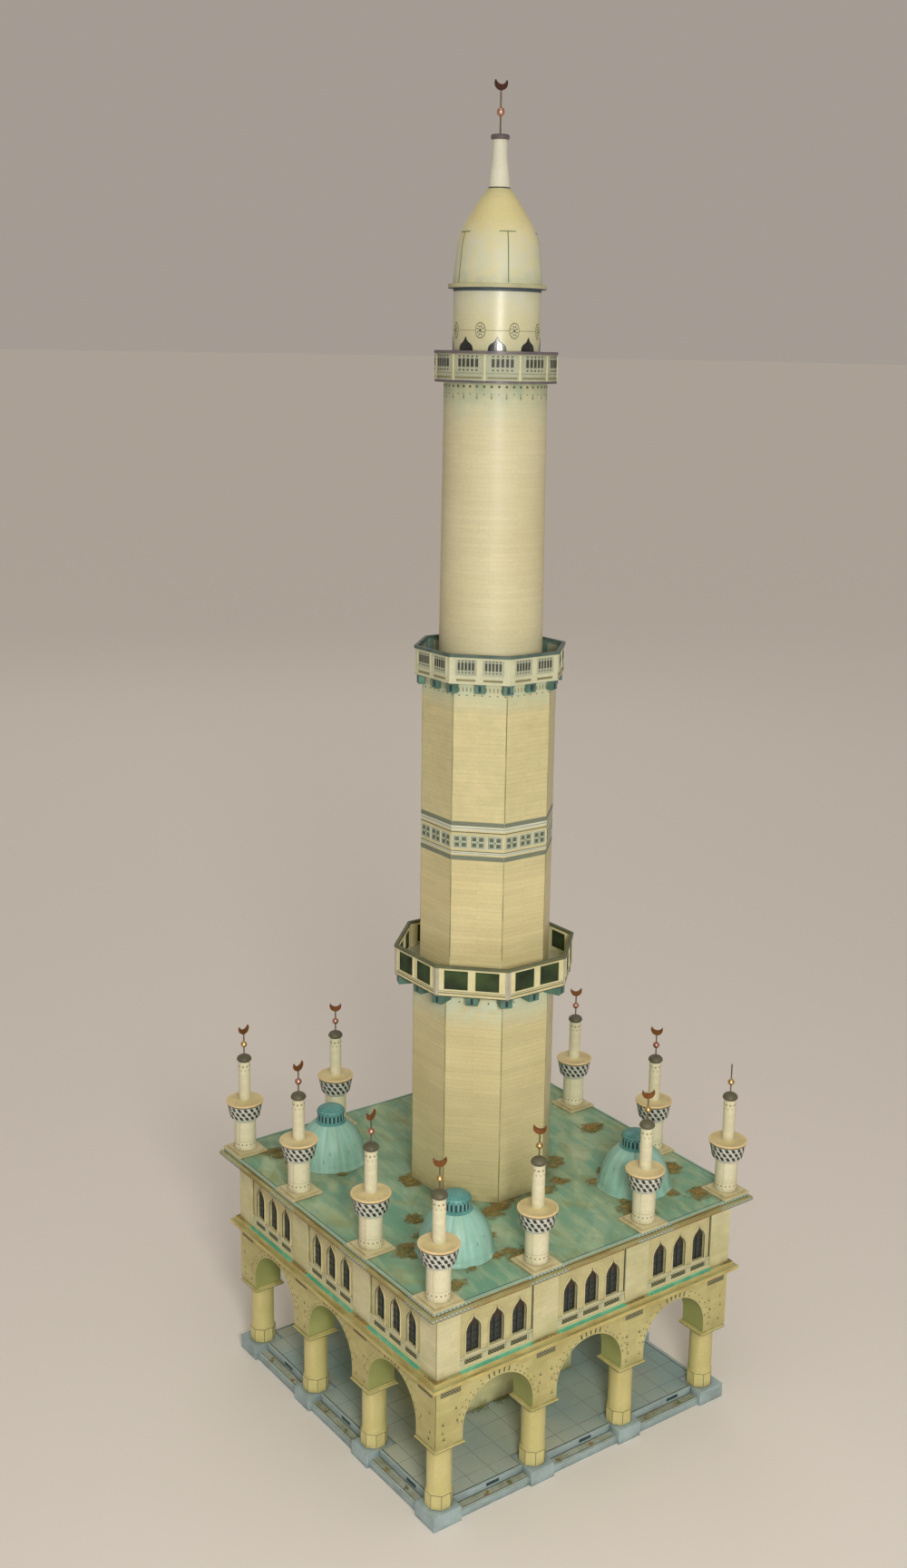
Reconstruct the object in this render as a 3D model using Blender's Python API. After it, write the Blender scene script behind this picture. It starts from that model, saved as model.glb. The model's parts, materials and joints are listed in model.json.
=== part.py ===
# Card scale model of a minaret on a square arcaded hall, about 1:150.
# Metres, +Z up. The origin is at the middle of the base, on the surface it stands on.
# The hall's four sides face -Y (front), +X (right), +Y (back) and -X (left).

import math

import bmesh
import bpy
from mathutils import Matrix, Vector

# Fit between glued pieces
GAP = 0.0001

# Hall, half sides measured from the tower's axis
COLUMN_LINE = 0.0503
BAY = 2 * COLUMN_LINE / 3
STEP_HALF = 0.0546
STEP_TOP = 0.0024
FLOOR_HALF = 0.0513
FLOOR_TOP = 0.0047
PEDESTAL_HALF = 0.0043
PEDESTAL_FACE = 0.0556

# Columns
COLUMN_SIDES = 16
COLUMN_RADIUS = 0.0036
COLUMN_BAND_RADIUS = 0.0039
COLUMN_BAND_TOP = 0.0096
COLUMN_BAND_SLOPE = 0.0003
IMPOST_BOTTOM = 0.0240
IMPOST_LIP_BOTTOM = 0.0247
IMPOST_LIP_TOP = 0.0253
IMPOST_TOP = 0.0261
IMPOST_LIP_HALF = 0.0051
IMPOST_HALF = 0.0045

# Arcade walls
WALL_FACE = 0.0553
ARCADE_THICK = 0.0092
PIER_HALF = 0.0044
ARCH_SPRING = 0.0291
ARCH_STEPS = 14
ARCADE_TOP = 0.0450

# Ledge, which closes the top of the arcade and carries the upper storey
LEDGE_LIP_HALF = 0.0577
LEDGE_HALF = 0.0565
LEDGE_LIP_TOP = 0.0463
LEDGE_TOP = 0.0474

# Upper storey
WALL_THICK = 0.0024
WALL_TOP = 0.0689
BAY_CENTRE = 0.0345
BAY_HALF = 0.0128
BAY_DEPTH = 0.0006
BAY_BOTTOM = 0.0483
BAY_HEAD = 0.0666
WINDOW_PITCH = 0.0080
WINDOW_HALF = 0.00245
WINDOW_DEPTH = 0.0008
WINDOW_SILL = 0.0518
WINDOW_SPRING = 0.0588
WINDOW_TIP = 0.0628
# Half of a window's head as (share of the half width, share of the head's height)
WINDOW_HEAD = ((1.0, 0.0), (0.94, 0.22), (0.74, 0.45), (0.42, 0.64), (0.16, 0.8), (0.0, 1.0))
CUTTER_REACH = 0.0010

# Roof
ROOF_LIP_HALF = 0.0600
ROOF_HALF = 0.0588
ROOF_LIP_TOP = 0.0700
ROOF_TOP = 0.0711

# Turrets on the roof's edge
TURRET_LINE = 0.0538
TURRET_INNER = 0.0201
TURRET_PLINTH_HALF = 0.0052
TURRET_PLINTH_STEP_HALF = 0.0043
TURRET_PLINTH_STEP = 0.0717
TURRET_PLINTH_TOP = 0.0723
TURRET_SIDES = 14
# Drum, balcony, slender shaft, cap, mast and bead as (radius, height)
TURRET_PROFILE = (
    (0.0034, 0.0721),
    (0.0034, 0.0820),
    (0.0046, 0.0830),
    (0.0056, 0.0878),
    (0.0059, 0.0880),
    (0.0059, 0.0885),
    (0.00185, 0.0888),
    (0.00185, 0.1019),
    (0.0023, 0.1020),
    (0.0023, 0.1025),
    (0.0020, 0.1031),
    (0.0012, 0.1036),
    (0.0003, 0.1038),
    (0.0003, 0.1062),
    (0.0010, 0.1069),
    (0.0010, 0.1075),
    (0.0003, 0.1082),
)
MAST_RADIUS = 0.0003
MAST_IN_CRESCENT = 0.0004
CRESCENT_FOOT = 0.1106
CRESCENT_RADIUS = 0.0019
CRESCENT_THICK = 0.0006
CRESCENT_TURN = math.radians(-37)
CRESCENT_STEPS = 8
# The turret on the front right corner has lost its crescent and keeps a longer bare mast
BARE_TURRET = 4
BARE_MAST_TOP = 0.1130

# Domes on the roof
ROOF_DOME_PLACE = 0.0340
ROOF_DOME_SIDES = 20
# Bell-shaped dome and its cap as (radius, height)
ROOF_DOME_PROFILE = (
    (0.0119, 0.0712),
    (0.0112, 0.0718),
    (0.0108, 0.0736),
    (0.0103, 0.0758),
    (0.0096, 0.0779),
    (0.0086, 0.0799),
    (0.0073, 0.0817),
    (0.0058, 0.0831),
    (0.0042, 0.0841),
    (0.0042, 0.0867),
    (0.0044, 0.0868),
    (0.0041, 0.0878),
    (0.0028, 0.0885),
    (0.0, 0.0888),
)

# Tower: the square core in the hall, then eight-sided and round shafts
CORE_HALF = 0.0215
LOWER_SHAFT = 0.0204
MIDDLE_SHAFT = 0.0186
UPPER_SHAFT_FOOT = 0.0151
UPPER_SHAFT_HEAD = 0.0145
LANTERN_RADIUS = 0.01215
ROUND_SIDES = 48

# Galleries: distance to the parapet's outer face, then heights
GALLERY_LOWER = (0.0259, 0.1384, 0.1478)
GALLERY_MIDDLE = (0.0210, 0.2299, 0.2383)
GALLERY_UPPER = (0.01735, 0.3123, 0.3209)
GALLERY_FLOOR_THICK = 0.0012
PARAPET_THICK = 0.0009
COPING_OVERHANG = 0.0004
COPING_HEIGHT = 0.0008
BRACKET_DROP = 0.0028
BRACKET_HALF_LOWER = 0.0017
BRACKET_HALF_MIDDLE = 0.0015
BRACKET_SHORT = 0.0012
UPPER_GALLERY_SIDES = 22

# Dome, spire and finial
EAVE_BOTTOM = 0.3375
EAVE_TOP = 0.3387
SPIRE_FOOT = 0.3640
SPIRE_TOP = 0.3767
SPIRE_SIDES = 24
DOME_PROFILE = (
    (0.0137, EAVE_BOTTOM),
    (0.0137, EAVE_TOP),
    (0.0124, EAVE_TOP),
    (0.0123, 0.3400),
    (0.0119, 0.3445),
    (0.0115, 0.3483),
    (0.0105, 0.3526),
    (0.0093, 0.3550),
    (0.0081, 0.3568),
    (0.0069, 0.3588),
    (0.0055, 0.3610),
    (0.0042, 0.3627),
    (0.0032, SPIRE_FOOT),
)
SPIRE_PROFILE = (
    (0.0030, SPIRE_FOOT + GAP),
    (0.0026, 0.3685),
    (0.0021, 0.3720),
    (0.0020, SPIRE_TOP),
)
# Cap, wire and bead
FINIAL_SIDES = 16
FINIAL_PROFILE = (
    (0.0025, 0.3768),
    (0.0026, 0.3776),
    (0.0022, 0.3781),
    (0.0004, 0.3782),
    (0.0004, 0.3826),
    (0.0009, 0.3831),
    (0.0011, 0.3839),
    (0.0009, 0.3847),
    (0.0004, 0.3852),
    (0.0004, 0.3897),
)
FINIAL_CRESCENT_FOOT = 0.3894
FINIAL_CRESCENT_RADIUS = 0.0019

# Each side of the hall and its quarter turn from the front
SIDES = (("front", 0), ("right", 1), ("back", 2), ("left", 3))

CREAM = (0.78, 0.73, 0.55, 1.0)
COLUMN_YELLOW = (0.76, 0.72, 0.42, 1.0)
ROOF_AQUA = (0.45, 0.66, 0.56, 1.0)
CAP_TEAL = (0.18, 0.44, 0.42, 1.0)
STONE_BLUE = (0.44, 0.51, 0.48, 1.0)
DOME_CREAM = (0.80, 0.75, 0.56, 1.0)
BRONZE = (0.32, 0.17, 0.08, 1.0)


def material(name, colour, roughness=0.7, metallic=0.0):
    found = bpy.data.materials.get(name)
    if found:
        return found
    made = bpy.data.materials.new(name)
    made.use_nodes = True
    shader = made.node_tree.nodes["Principled BSDF"]
    shader.inputs["Base Color"].default_value = colour
    shader.inputs["Roughness"].default_value = roughness
    shader.inputs["Metallic"].default_value = metallic
    made.diffuse_color = colour
    return made


def object_from(name, bm, surface, smooth=False):
    bmesh.ops.recalc_face_normals(bm, faces=bm.faces)
    mesh = bpy.data.meshes.new(name)
    bm.to_mesh(mesh)
    bm.free()
    mesh.materials.append(surface)
    if smooth:
        mesh.shade_smooth()
        mesh.set_sharp_from_angle(angle=math.radians(35))
    made = bpy.data.objects.new(name, mesh)
    bpy.context.scene.collection.objects.link(made)
    return made


def add_prism(bm, outline, bottom, top):
    # Closed prism on a flat outline given as (x, y) pairs
    lower = [bm.verts.new((x, y, bottom)) for x, y in outline]
    upper = [bm.verts.new((x, y, top)) for x, y in outline]
    bm.faces.new(list(reversed(lower)))
    bm.faces.new(upper)
    count = len(outline)
    for i in range(count):
        j = (i + 1) % count
        bm.faces.new((lower[i], lower[j], upper[j], upper[i]))


def add_lathe(bm, profile, sides):
    # Closed turned body; the profile runs from the bottom to the top as (radius, height)
    rings = []
    for radius, height in profile:
        if radius == 0:
            rings.append([bm.verts.new((0.0, 0.0, height))])
            continue
        ring = []
        for k in range(sides):
            angle = 2 * math.pi * k / sides
            ring.append(bm.verts.new((radius * math.cos(angle), radius * math.sin(angle), height)))
        rings.append(ring)
    if len(rings[0]) > 1:
        bm.faces.new(list(reversed(rings[0])))
    if len(rings[-1]) > 1:
        bm.faces.new(rings[-1])
    for lower, upper in zip(rings, rings[1:]):
        for k in range(sides):
            n = (k + 1) % sides
            if len(lower) == 1:
                bm.faces.new((lower[0], upper[n], upper[k]))
            elif len(upper) == 1:
                bm.faces.new((lower[k], lower[n], upper[0]))
            else:
                bm.faces.new((lower[k], lower[n], upper[n], upper[k]))


def add_ring_lathe(bm, profile, sides, turn=0.0, scale=1.0):
    # Turned body with an open middle; the profile is a closed loop of (radius, height)
    rings = []
    for radius, height in profile:
        ring = []
        for k in range(sides):
            angle = turn + 2 * math.pi * k / sides
            x = radius * scale * math.cos(angle)
            y = radius * scale * math.sin(angle)
            ring.append(bm.verts.new((x, y, height)))
        rings.append(ring)
    for i in range(len(rings)):
        lower = rings[i]
        upper = rings[(i + 1) % len(rings)]
        for k in range(sides):
            n = (k + 1) % sides
            bm.faces.new((lower[k], lower[n], upper[n], upper[k]))


def square(half):
    return [(-half, -half), (half, -half), (half, half), (-half, half)]


def box_outline(x, y, half_x, half_y):
    left, right = x - half_x, x + half_x
    near, far = y - half_y, y + half_y
    return [(left, near), (right, near), (right, far), (left, far)]


def octagon(apothem):
    corner = apothem / math.cos(math.pi / 8)
    points = []
    for k in range(8):
        angle = math.pi / 8 + k * math.pi / 4
        points.append((corner * math.cos(angle), corner * math.sin(angle)))
    return points


def add_stepped_block(bm, lower_half, upper_half, heights):
    bottom, middle, top = heights
    loops = []
    for half, height in ((lower_half, bottom), (lower_half, middle), (upper_half, middle), (upper_half, top)):
        loops.append([bm.verts.new((x, y, height)) for x, y in square(half)])
    bm.faces.new(list(reversed(loops[0])))
    bm.faces.new(loops[-1])
    for lower, upper in zip(loops, loops[1:]):
        for k in range(4):
            n = (k + 1) % 4
            bm.faces.new((lower[k], lower[n], upper[n], upper[k]))


def hide_cutter(cutter):
    cutter.hide_render = True
    cutter.display_type = "WIRE"


def boolean(target, cutter, operation):
    hide_cutter(cutter)
    modifier = target.modifiers.new(operation.lower(), "BOOLEAN")
    modifier.operation = operation
    modifier.solver = "EXACT"
    modifier.object = cutter


def edge_places(line, inner):
    # Twelve places around a square, counter-clockwise from the front left corner
    steps = (-line, -inner, inner)
    places = []
    for turn in range(4):
        rotation = Matrix.Rotation(turn * math.pi / 2, 3, "Z")
        for step in steps:
            place = rotation @ Vector((step, -line, 0.0))
            places.append((round(place.x, 6), round(place.y, 6)))
    return places


def pedestal_blocks(name, half, face, bottom, top):
    # Blocks under the columns, from their inner side out to the plinth's face
    bm = bmesh.new()
    inner = COLUMN_LINE - half
    middle = (inner + face) / 2
    reach = (face - inner) / 2
    for x, y in edge_places(COLUMN_LINE, BAY / 2):
        corner = abs(x) == abs(y)
        along_x = corner or abs(x) == COLUMN_LINE
        along_y = corner or abs(y) == COLUMN_LINE
        centre_x = math.copysign(middle, x) if along_x else x
        centre_y = math.copysign(middle, y) if along_y else y
        half_x = reach if along_x else half
        half_y = reach if along_y else half
        add_prism(bm, box_outline(centre_x, centre_y, half_x, half_y), bottom, top)
    return object_from(name, bm, material("stone_blue", STONE_BLUE))


def build_plinth():
    stone = material("stone_blue", STONE_BLUE)
    bm = bmesh.new()
    add_prism(bm, square(STEP_HALF), 0.0, STEP_TOP)
    plinth = object_from("plinth", bm, stone)
    blocks = pedestal_blocks("pedestals_shape", PEDESTAL_HALF, PEDESTAL_FACE, 0.0, FLOOR_TOP)
    boolean(plinth, blocks, "UNION")
    bm = bmesh.new()
    add_prism(bm, square(FLOOR_HALF), STEP_TOP + GAP, FLOOR_TOP)
    floor = object_from("hall_floor", bm, stone)
    notches = pedestal_blocks("notches_shape", PEDESTAL_HALF + GAP, PEDESTAL_FACE + GAP, 0.0, 2 * FLOOR_TOP)
    boolean(floor, notches, "DIFFERENCE")


def circle(radius, sides):
    points = []
    for k in range(sides):
        angle = (2 * k + 1) * math.pi / sides
        points.append((radius * math.cos(angle), radius * math.sin(angle)))
    return points


def squared(half, sides):
    # As many points as the circle has, laid out on a square
    points = []
    for x, y in circle(1.0, sides):
        reach = half / max(abs(x), abs(y))
        points.append((x * reach, y * reach))
    return points


def build_columns():
    # Round columns that flare into the square imposts under the arcade's piers
    yellow = material("column_yellow", COLUMN_YELLOW)
    loops = (
        (circle(COLUMN_BAND_RADIUS, COLUMN_SIDES), FLOOR_TOP + GAP),
        (circle(COLUMN_BAND_RADIUS, COLUMN_SIDES), COLUMN_BAND_TOP - COLUMN_BAND_SLOPE),
        (circle(COLUMN_RADIUS, COLUMN_SIDES), COLUMN_BAND_TOP),
        (circle(COLUMN_RADIUS, COLUMN_SIDES), IMPOST_BOTTOM),
        (squared(IMPOST_LIP_HALF, COLUMN_SIDES), IMPOST_LIP_BOTTOM),
        (squared(IMPOST_LIP_HALF, COLUMN_SIDES), IMPOST_LIP_TOP),
        (squared(IMPOST_HALF, COLUMN_SIDES), IMPOST_TOP - GAP),
    )
    for number, (x, y) in enumerate(edge_places(COLUMN_LINE, BAY / 2), start=1):
        bm = bmesh.new()
        rings = []
        for points, height in loops:
            rings.append([bm.verts.new((px, py, height)) for px, py in points])
        bm.faces.new(list(reversed(rings[0])))
        bm.faces.new(rings[-1])
        for lower, upper in zip(rings, rings[1:]):
            for k in range(COLUMN_SIDES):
                n = (k + 1) % COLUMN_SIDES
                bm.faces.new((lower[k], lower[n], upper[n], upper[k]))
        column = object_from("column_%d" % number, bm, yellow, smooth=True)
        column.location = (x, y, 0.0)


def arcade_outline():
    # Front view of an arcade wall as (x, z), with three round arches open at the bottom.
    # Its ends stop a hair short of the corner, which keeps the mitred walls apart.
    radius = BAY / 2 - PIER_HALF
    end = WALL_FACE - GAP
    points = [(-end, IMPOST_TOP)]
    for centre in (-BAY, 0.0, BAY):
        points.append((centre - radius, IMPOST_TOP))
        for k in range(ARCH_STEPS + 1):
            angle = math.pi - math.pi * k / ARCH_STEPS
            points.append((centre + radius * math.cos(angle), ARCH_SPRING + radius * math.sin(angle)))
        points.append((centre + radius, IMPOST_TOP))
    points.append((end, IMPOST_TOP))
    points.append((end, ARCADE_TOP))
    points.append((-end, ARCADE_TOP))
    return points


def mitred_wall(name, outline, thick, surface):
    # A wall on the -Y side, drawn as (x, z), whose two ends are cut at 45 degrees
    bm = bmesh.new()
    outer = []
    inner = []
    for x, z in outline:
        at_end = abs(x) > WALL_FACE - 2 * GAP
        reach = abs(x) - thick if at_end else abs(x)
        outer.append(bm.verts.new((x, -WALL_FACE, z)))
        inner.append(bm.verts.new((math.copysign(reach, x), thick - WALL_FACE, z)))
    bm.faces.new(outer)
    bm.faces.new(list(reversed(inner)))
    count = len(outline)
    for i in range(count):
        j = (i + 1) % count
        bm.faces.new((outer[j], outer[i], inner[i], inner[j]))
    return object_from(name, bm, surface)


def build_arcades():
    cream = material("cream", CREAM)
    outline = arcade_outline()
    for side, turn in SIDES:
        wall = mitred_wall("arcade_" + side, outline, ARCADE_THICK, cream)
        wall.rotation_euler = (0.0, 0.0, turn * math.pi / 2)


def build_ledge():
    cream = material("cream", CREAM)
    bm = bmesh.new()
    lip = square(LEDGE_LIP_HALF)
    top = square(LEDGE_HALF)
    hole = square(CORE_HALF + GAP)
    heights = (ARCADE_TOP + GAP, LEDGE_LIP_TOP, LEDGE_TOP)
    add_stepped_slab(bm, lip, top, hole, heights)
    object_from("ledge", bm, cream)


def add_stepped_slab(bm, lip, top, hole, heights):
    # Square slab with a wider lip below and a hole through it
    bottom, lip_top, slab_top = heights

    def loop(outline, height):
        return [bm.verts.new((x, y, height)) for x, y in outline]

    loops = [loop(hole, bottom), loop(lip, bottom), loop(lip, lip_top)]
    loops += [loop(top, lip_top), loop(top, slab_top), loop(hole, slab_top)]
    for i in range(len(loops)):
        first = loops[i]
        second = loops[(i + 1) % len(loops)]
        for k in range(4):
            n = (k + 1) % 4
            bm.faces.new((first[k], first[n], second[n], second[k]))


def window_outline(centre):
    # Pointed window as (x, z): straight jambs and a two-curved head
    head = WINDOW_TIP - WINDOW_SPRING
    points = [(centre - WINDOW_HALF, WINDOW_SILL), (centre + WINDOW_HALF, WINDOW_SILL)]
    for across, up in WINDOW_HEAD:
        points.append((centre + WINDOW_HALF * across, WINDOW_SPRING + head * up))
    for across, up in reversed(WINDOW_HEAD[:-1]):
        points.append((centre - WINDOW_HALF * across, WINDOW_SPRING + head * up))
    return points


def add_front_prism(bm, outline, front, back):
    # Closed prism along Y on an outline given as (x, z)
    near = [bm.verts.new((x, front, z)) for x, z in outline]
    far = [bm.verts.new((x, back, z)) for x, z in outline]
    bm.faces.new(near)
    bm.faces.new(list(reversed(far)))
    count = len(outline)
    for i in range(count):
        j = (i + 1) % count
        bm.faces.new((near[j], near[i], far[i], far[j]))


def build_upper_walls():
    cream = material("cream", CREAM)
    face = -WALL_FACE
    bm = bmesh.new()
    for centre in (-BAY_CENTRE, 0.0, BAY_CENTRE):
        outline = [(centre - BAY_HALF, BAY_BOTTOM), (centre + BAY_HALF, BAY_BOTTOM),
                   (centre + BAY_HALF, BAY_HEAD), (centre - BAY_HALF, BAY_HEAD)]
        add_front_prism(bm, outline, face - CUTTER_REACH, face + BAY_DEPTH)
    bays = object_from("bays_shape", bm, cream)
    bm = bmesh.new()
    for centre in (-BAY_CENTRE, 0.0, BAY_CENTRE):
        for step in (-1, 0, 1):
            outline = window_outline(centre + step * WINDOW_PITCH)
            add_front_prism(bm, outline, face - CUTTER_REACH, face + BAY_DEPTH + WINDOW_DEPTH)
    windows = object_from("windows_shape", bm, cream)
    end = WALL_FACE - GAP
    outline = [(-end, LEDGE_TOP + GAP), (end, LEDGE_TOP + GAP), (end, WALL_TOP), (-end, WALL_TOP)]
    for side, turn in SIDES:
        wall = mitred_wall("wall_" + side, outline, WALL_THICK, cream)
        wall.rotation_euler = (0.0, 0.0, turn * math.pi / 2)
        for number, shape in enumerate((bays, windows)):
            cutter = bpy.data.objects.new("%s_%s_%d" % (shape.name, side, number), shape.data)
            bpy.context.scene.collection.objects.link(cutter)
            cutter.rotation_euler = wall.rotation_euler
            boolean(wall, cutter, "DIFFERENCE")
    hide_cutter(bays)
    hide_cutter(windows)


def build_roof():
    aqua = material("roof_aqua", ROOF_AQUA)
    bm = bmesh.new()
    add_stepped_block(bm, ROOF_LIP_HALF, ROOF_HALF, (WALL_TOP + GAP, ROOF_LIP_TOP, ROOF_TOP))
    object_from("roof", bm, aqua)


def crescent_outline(bottom, radius):
    # Outer arc from horn to horn through the bottom, then back along a higher arc
    centre = bottom + radius
    inner = 0.95 * radius
    lift = 0.8 * radius
    first_horn, sweep = 155, 230
    first_bite, bite_sweep = -24, 132
    points = []
    for k in range(CRESCENT_STEPS + 1):
        angle = math.radians(first_horn + sweep * k / CRESCENT_STEPS)
        points.append((radius * math.cos(angle), centre + radius * math.sin(angle)))
    for k in range(1, CRESCENT_STEPS):
        angle = math.radians(first_bite - bite_sweep * k / CRESCENT_STEPS)
        points.append((inner * math.cos(angle), centre + lift + inner * math.sin(angle)))
    return points


def add_crescent(bm, bottom, radius):
    # Flat crescent over the origin, horns up
    points = crescent_outline(bottom, radius)
    across = Vector((math.cos(CRESCENT_TURN), math.sin(CRESCENT_TURN), 0.0))
    through = Vector((-across.y, across.x, 0.0)) * CRESCENT_THICK / 2
    near = []
    far = []
    for u, z in points:
        middle = across * u + Vector((0.0, 0.0, z))
        near.append(bm.verts.new(middle - through))
        far.append(bm.verts.new(middle + through))
    bm.faces.new(near)
    bm.faces.new(list(reversed(far)))
    count = len(points)
    for i in range(count):
        j = (i + 1) % count
        bm.faces.new((near[j], near[i], far[i], far[j]))


def build_turrets():
    cream = material("cream", CREAM)
    for number, (x, y) in enumerate(edge_places(TURRET_LINE, TURRET_INNER), start=1):
        bm = bmesh.new()
        bare = number == BARE_TURRET
        top = BARE_MAST_TOP if bare else CRESCENT_FOOT + MAST_IN_CRESCENT
        add_lathe(bm, TURRET_PROFILE + ((MAST_RADIUS, top),), TURRET_SIDES)
        turret = object_from("turret_%d" % number, bm, cream, smooth=True)
        turret.location = (x, y, 0.0)
        bm = bmesh.new()
        heights = (ROOF_TOP + GAP, TURRET_PLINTH_STEP, TURRET_PLINTH_TOP)
        add_stepped_block(bm, TURRET_PLINTH_HALF, TURRET_PLINTH_STEP_HALF, heights)
        plinth = object_from("turret_plinth_shape_%d" % number, bm, cream)
        plinth.location = turret.location
        boolean(turret, plinth, "UNION")
        if not bare:
            bm = bmesh.new()
            add_crescent(bm, CRESCENT_FOOT, CRESCENT_RADIUS)
            bronze = material("bronze", BRONZE, 0.4, 0.8)
            crescent = object_from("turret_crescent_shape_%d" % number, bm, bronze)
            crescent.location = turret.location
            boolean(turret, crescent, "UNION")


def build_roof_domes():
    teal = material("cap_teal", CAP_TEAL)
    for number, (x, y) in enumerate(square(ROOF_DOME_PLACE), start=1):
        bm = bmesh.new()
        add_lathe(bm, ROOF_DOME_PROFILE, ROOF_DOME_SIDES)
        dome = object_from("roof_dome_%d" % number, bm, teal, smooth=True)
        dome.location = (x, y, 0.0)


def build_core():
    cream = material("cream", CREAM)
    bm = bmesh.new()
    add_prism(bm, square(CORE_HALF), FLOOR_TOP + GAP, WALL_TOP)
    object_from("core", bm, cream)


def build_shafts():
    cream = material("cream", CREAM)
    foot, head = GALLERY_LOWER[1], GALLERY_MIDDLE[1]
    bm = bmesh.new()
    add_prism(bm, octagon(LOWER_SHAFT), ROOF_TOP + GAP, foot - GAP)
    object_from("lower_shaft", bm, cream)
    bm = bmesh.new()
    add_prism(bm, octagon(MIDDLE_SHAFT), foot, head - GAP)
    object_from("middle_shaft", bm, cream)
    bm = bmesh.new()
    floor = GALLERY_UPPER[1]
    add_lathe(bm, ((UPPER_SHAFT_FOOT, head), (UPPER_SHAFT_HEAD, floor - GAP)), ROUND_SIDES)
    object_from("upper_shaft", bm, cream, smooth=True)
    bm = bmesh.new()
    add_lathe(bm, ((LANTERN_RADIUS, floor), (LANTERN_RADIUS, EAVE_BOTTOM - GAP)), ROUND_SIDES)
    object_from("lantern", bm, cream, smooth=True)


def gallery_loop(size, inner):
    # Section through a gallery as (distance, height): floor, parapet and coping
    face, bottom, top = size
    wall = face - COPING_OVERHANG
    back = wall - PARAPET_THICK
    floor = bottom + GALLERY_FLOOR_THICK
    shoulder = top - COPING_HEIGHT
    return (
        (inner, bottom),
        (wall, bottom),
        (wall, shoulder),
        (face, shoulder),
        (face, top),
        (back - COPING_OVERHANG / 2, top),
        (back - COPING_OVERHANG / 2, shoulder),
        (back, shoulder),
        (back, floor),
        (inner, floor),
    )


def bracket_shape(name, size, shaft, half):
    # Brackets under a gallery, at each corner and at the middle of each side
    face, bottom, top = size
    stretch = 1 / math.cos(math.pi / 8)
    bm = bmesh.new()
    for k in range(16):
        angle = k * math.pi / 8
        reach = face - BRACKET_SHORT
        start = shaft + GAP
        if k % 2 == 1:
            # At a corner the shaft falls away to both sides, so only the bracket's middle meets it
            reach = face * stretch - BRACKET_SHORT
            start = shaft * stretch + 2 * GAP
        points = ((start, -half), (reach, -half), (reach, half), (start, half))
        turned = []
        for u, v in points:
            x = u * math.cos(angle) - v * math.sin(angle)
            y = u * math.sin(angle) + v * math.cos(angle)
            turned.append((x, y))
        add_prism(bm, turned, bottom - BRACKET_DROP, bottom + GALLERY_FLOOR_THICK / 2)
    return object_from(name, bm, material("cap_teal", CAP_TEAL))


def build_galleries():
    cream = material("cream", CREAM)
    eighth = math.pi / 8
    stretch = 1 / math.cos(eighth)
    bm = bmesh.new()
    add_ring_lathe(bm, gallery_loop(GALLERY_LOWER, MIDDLE_SHAFT + GAP), 8, eighth, stretch)
    lower = object_from("gallery_lower", bm, cream)
    brackets = bracket_shape("brackets_lower_shape", GALLERY_LOWER, LOWER_SHAFT, BRACKET_HALF_LOWER)
    boolean(lower, brackets, "UNION")
    bm = bmesh.new()
    add_ring_lathe(bm, gallery_loop(GALLERY_MIDDLE, UPPER_SHAFT_FOOT + GAP), 8, eighth, stretch)
    middle = object_from("gallery_middle", bm, cream)
    brackets = bracket_shape("brackets_middle_shape", GALLERY_MIDDLE, MIDDLE_SHAFT, BRACKET_HALF_MIDDLE)
    boolean(middle, brackets, "UNION")
    bm = bmesh.new()
    add_ring_lathe(bm, gallery_loop(GALLERY_UPPER, LANTERN_RADIUS + 2 * GAP), UPPER_GALLERY_SIDES)
    object_from("gallery_upper", bm, cream)


def build_dome():
    bm = bmesh.new()
    add_lathe(bm, DOME_PROFILE, ROUND_SIDES)
    object_from("dome", bm, material("dome_cream", DOME_CREAM), smooth=True)
    bm = bmesh.new()
    add_lathe(bm, SPIRE_PROFILE, SPIRE_SIDES)
    object_from("spire", bm, material("cream", CREAM), smooth=True)


def build_finial():
    bronze = material("bronze", BRONZE, 0.4, 0.8)
    bm = bmesh.new()
    add_lathe(bm, FINIAL_PROFILE, FINIAL_SIDES)
    finial = object_from("finial", bm, bronze, smooth=True)
    bm = bmesh.new()
    add_crescent(bm, FINIAL_CRESCENT_FOOT, FINIAL_CRESCENT_RADIUS)
    boolean(finial, object_from("finial_crescent_shape", bm, bronze), "UNION")


def main():
    for old in list(bpy.data.objects):
        bpy.data.objects.remove(old, do_unlink=True)
    build_plinth()
    build_columns()
    build_arcades()
    build_ledge()
    build_upper_walls()
    build_roof()
    build_turrets()
    build_roof_domes()
    build_core()
    build_shafts()
    build_galleries()
    build_dome()
    build_finial()


main()
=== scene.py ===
import json
import math
import random

import bmesh
import bpy
from mathutils import Matrix, Vector

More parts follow.
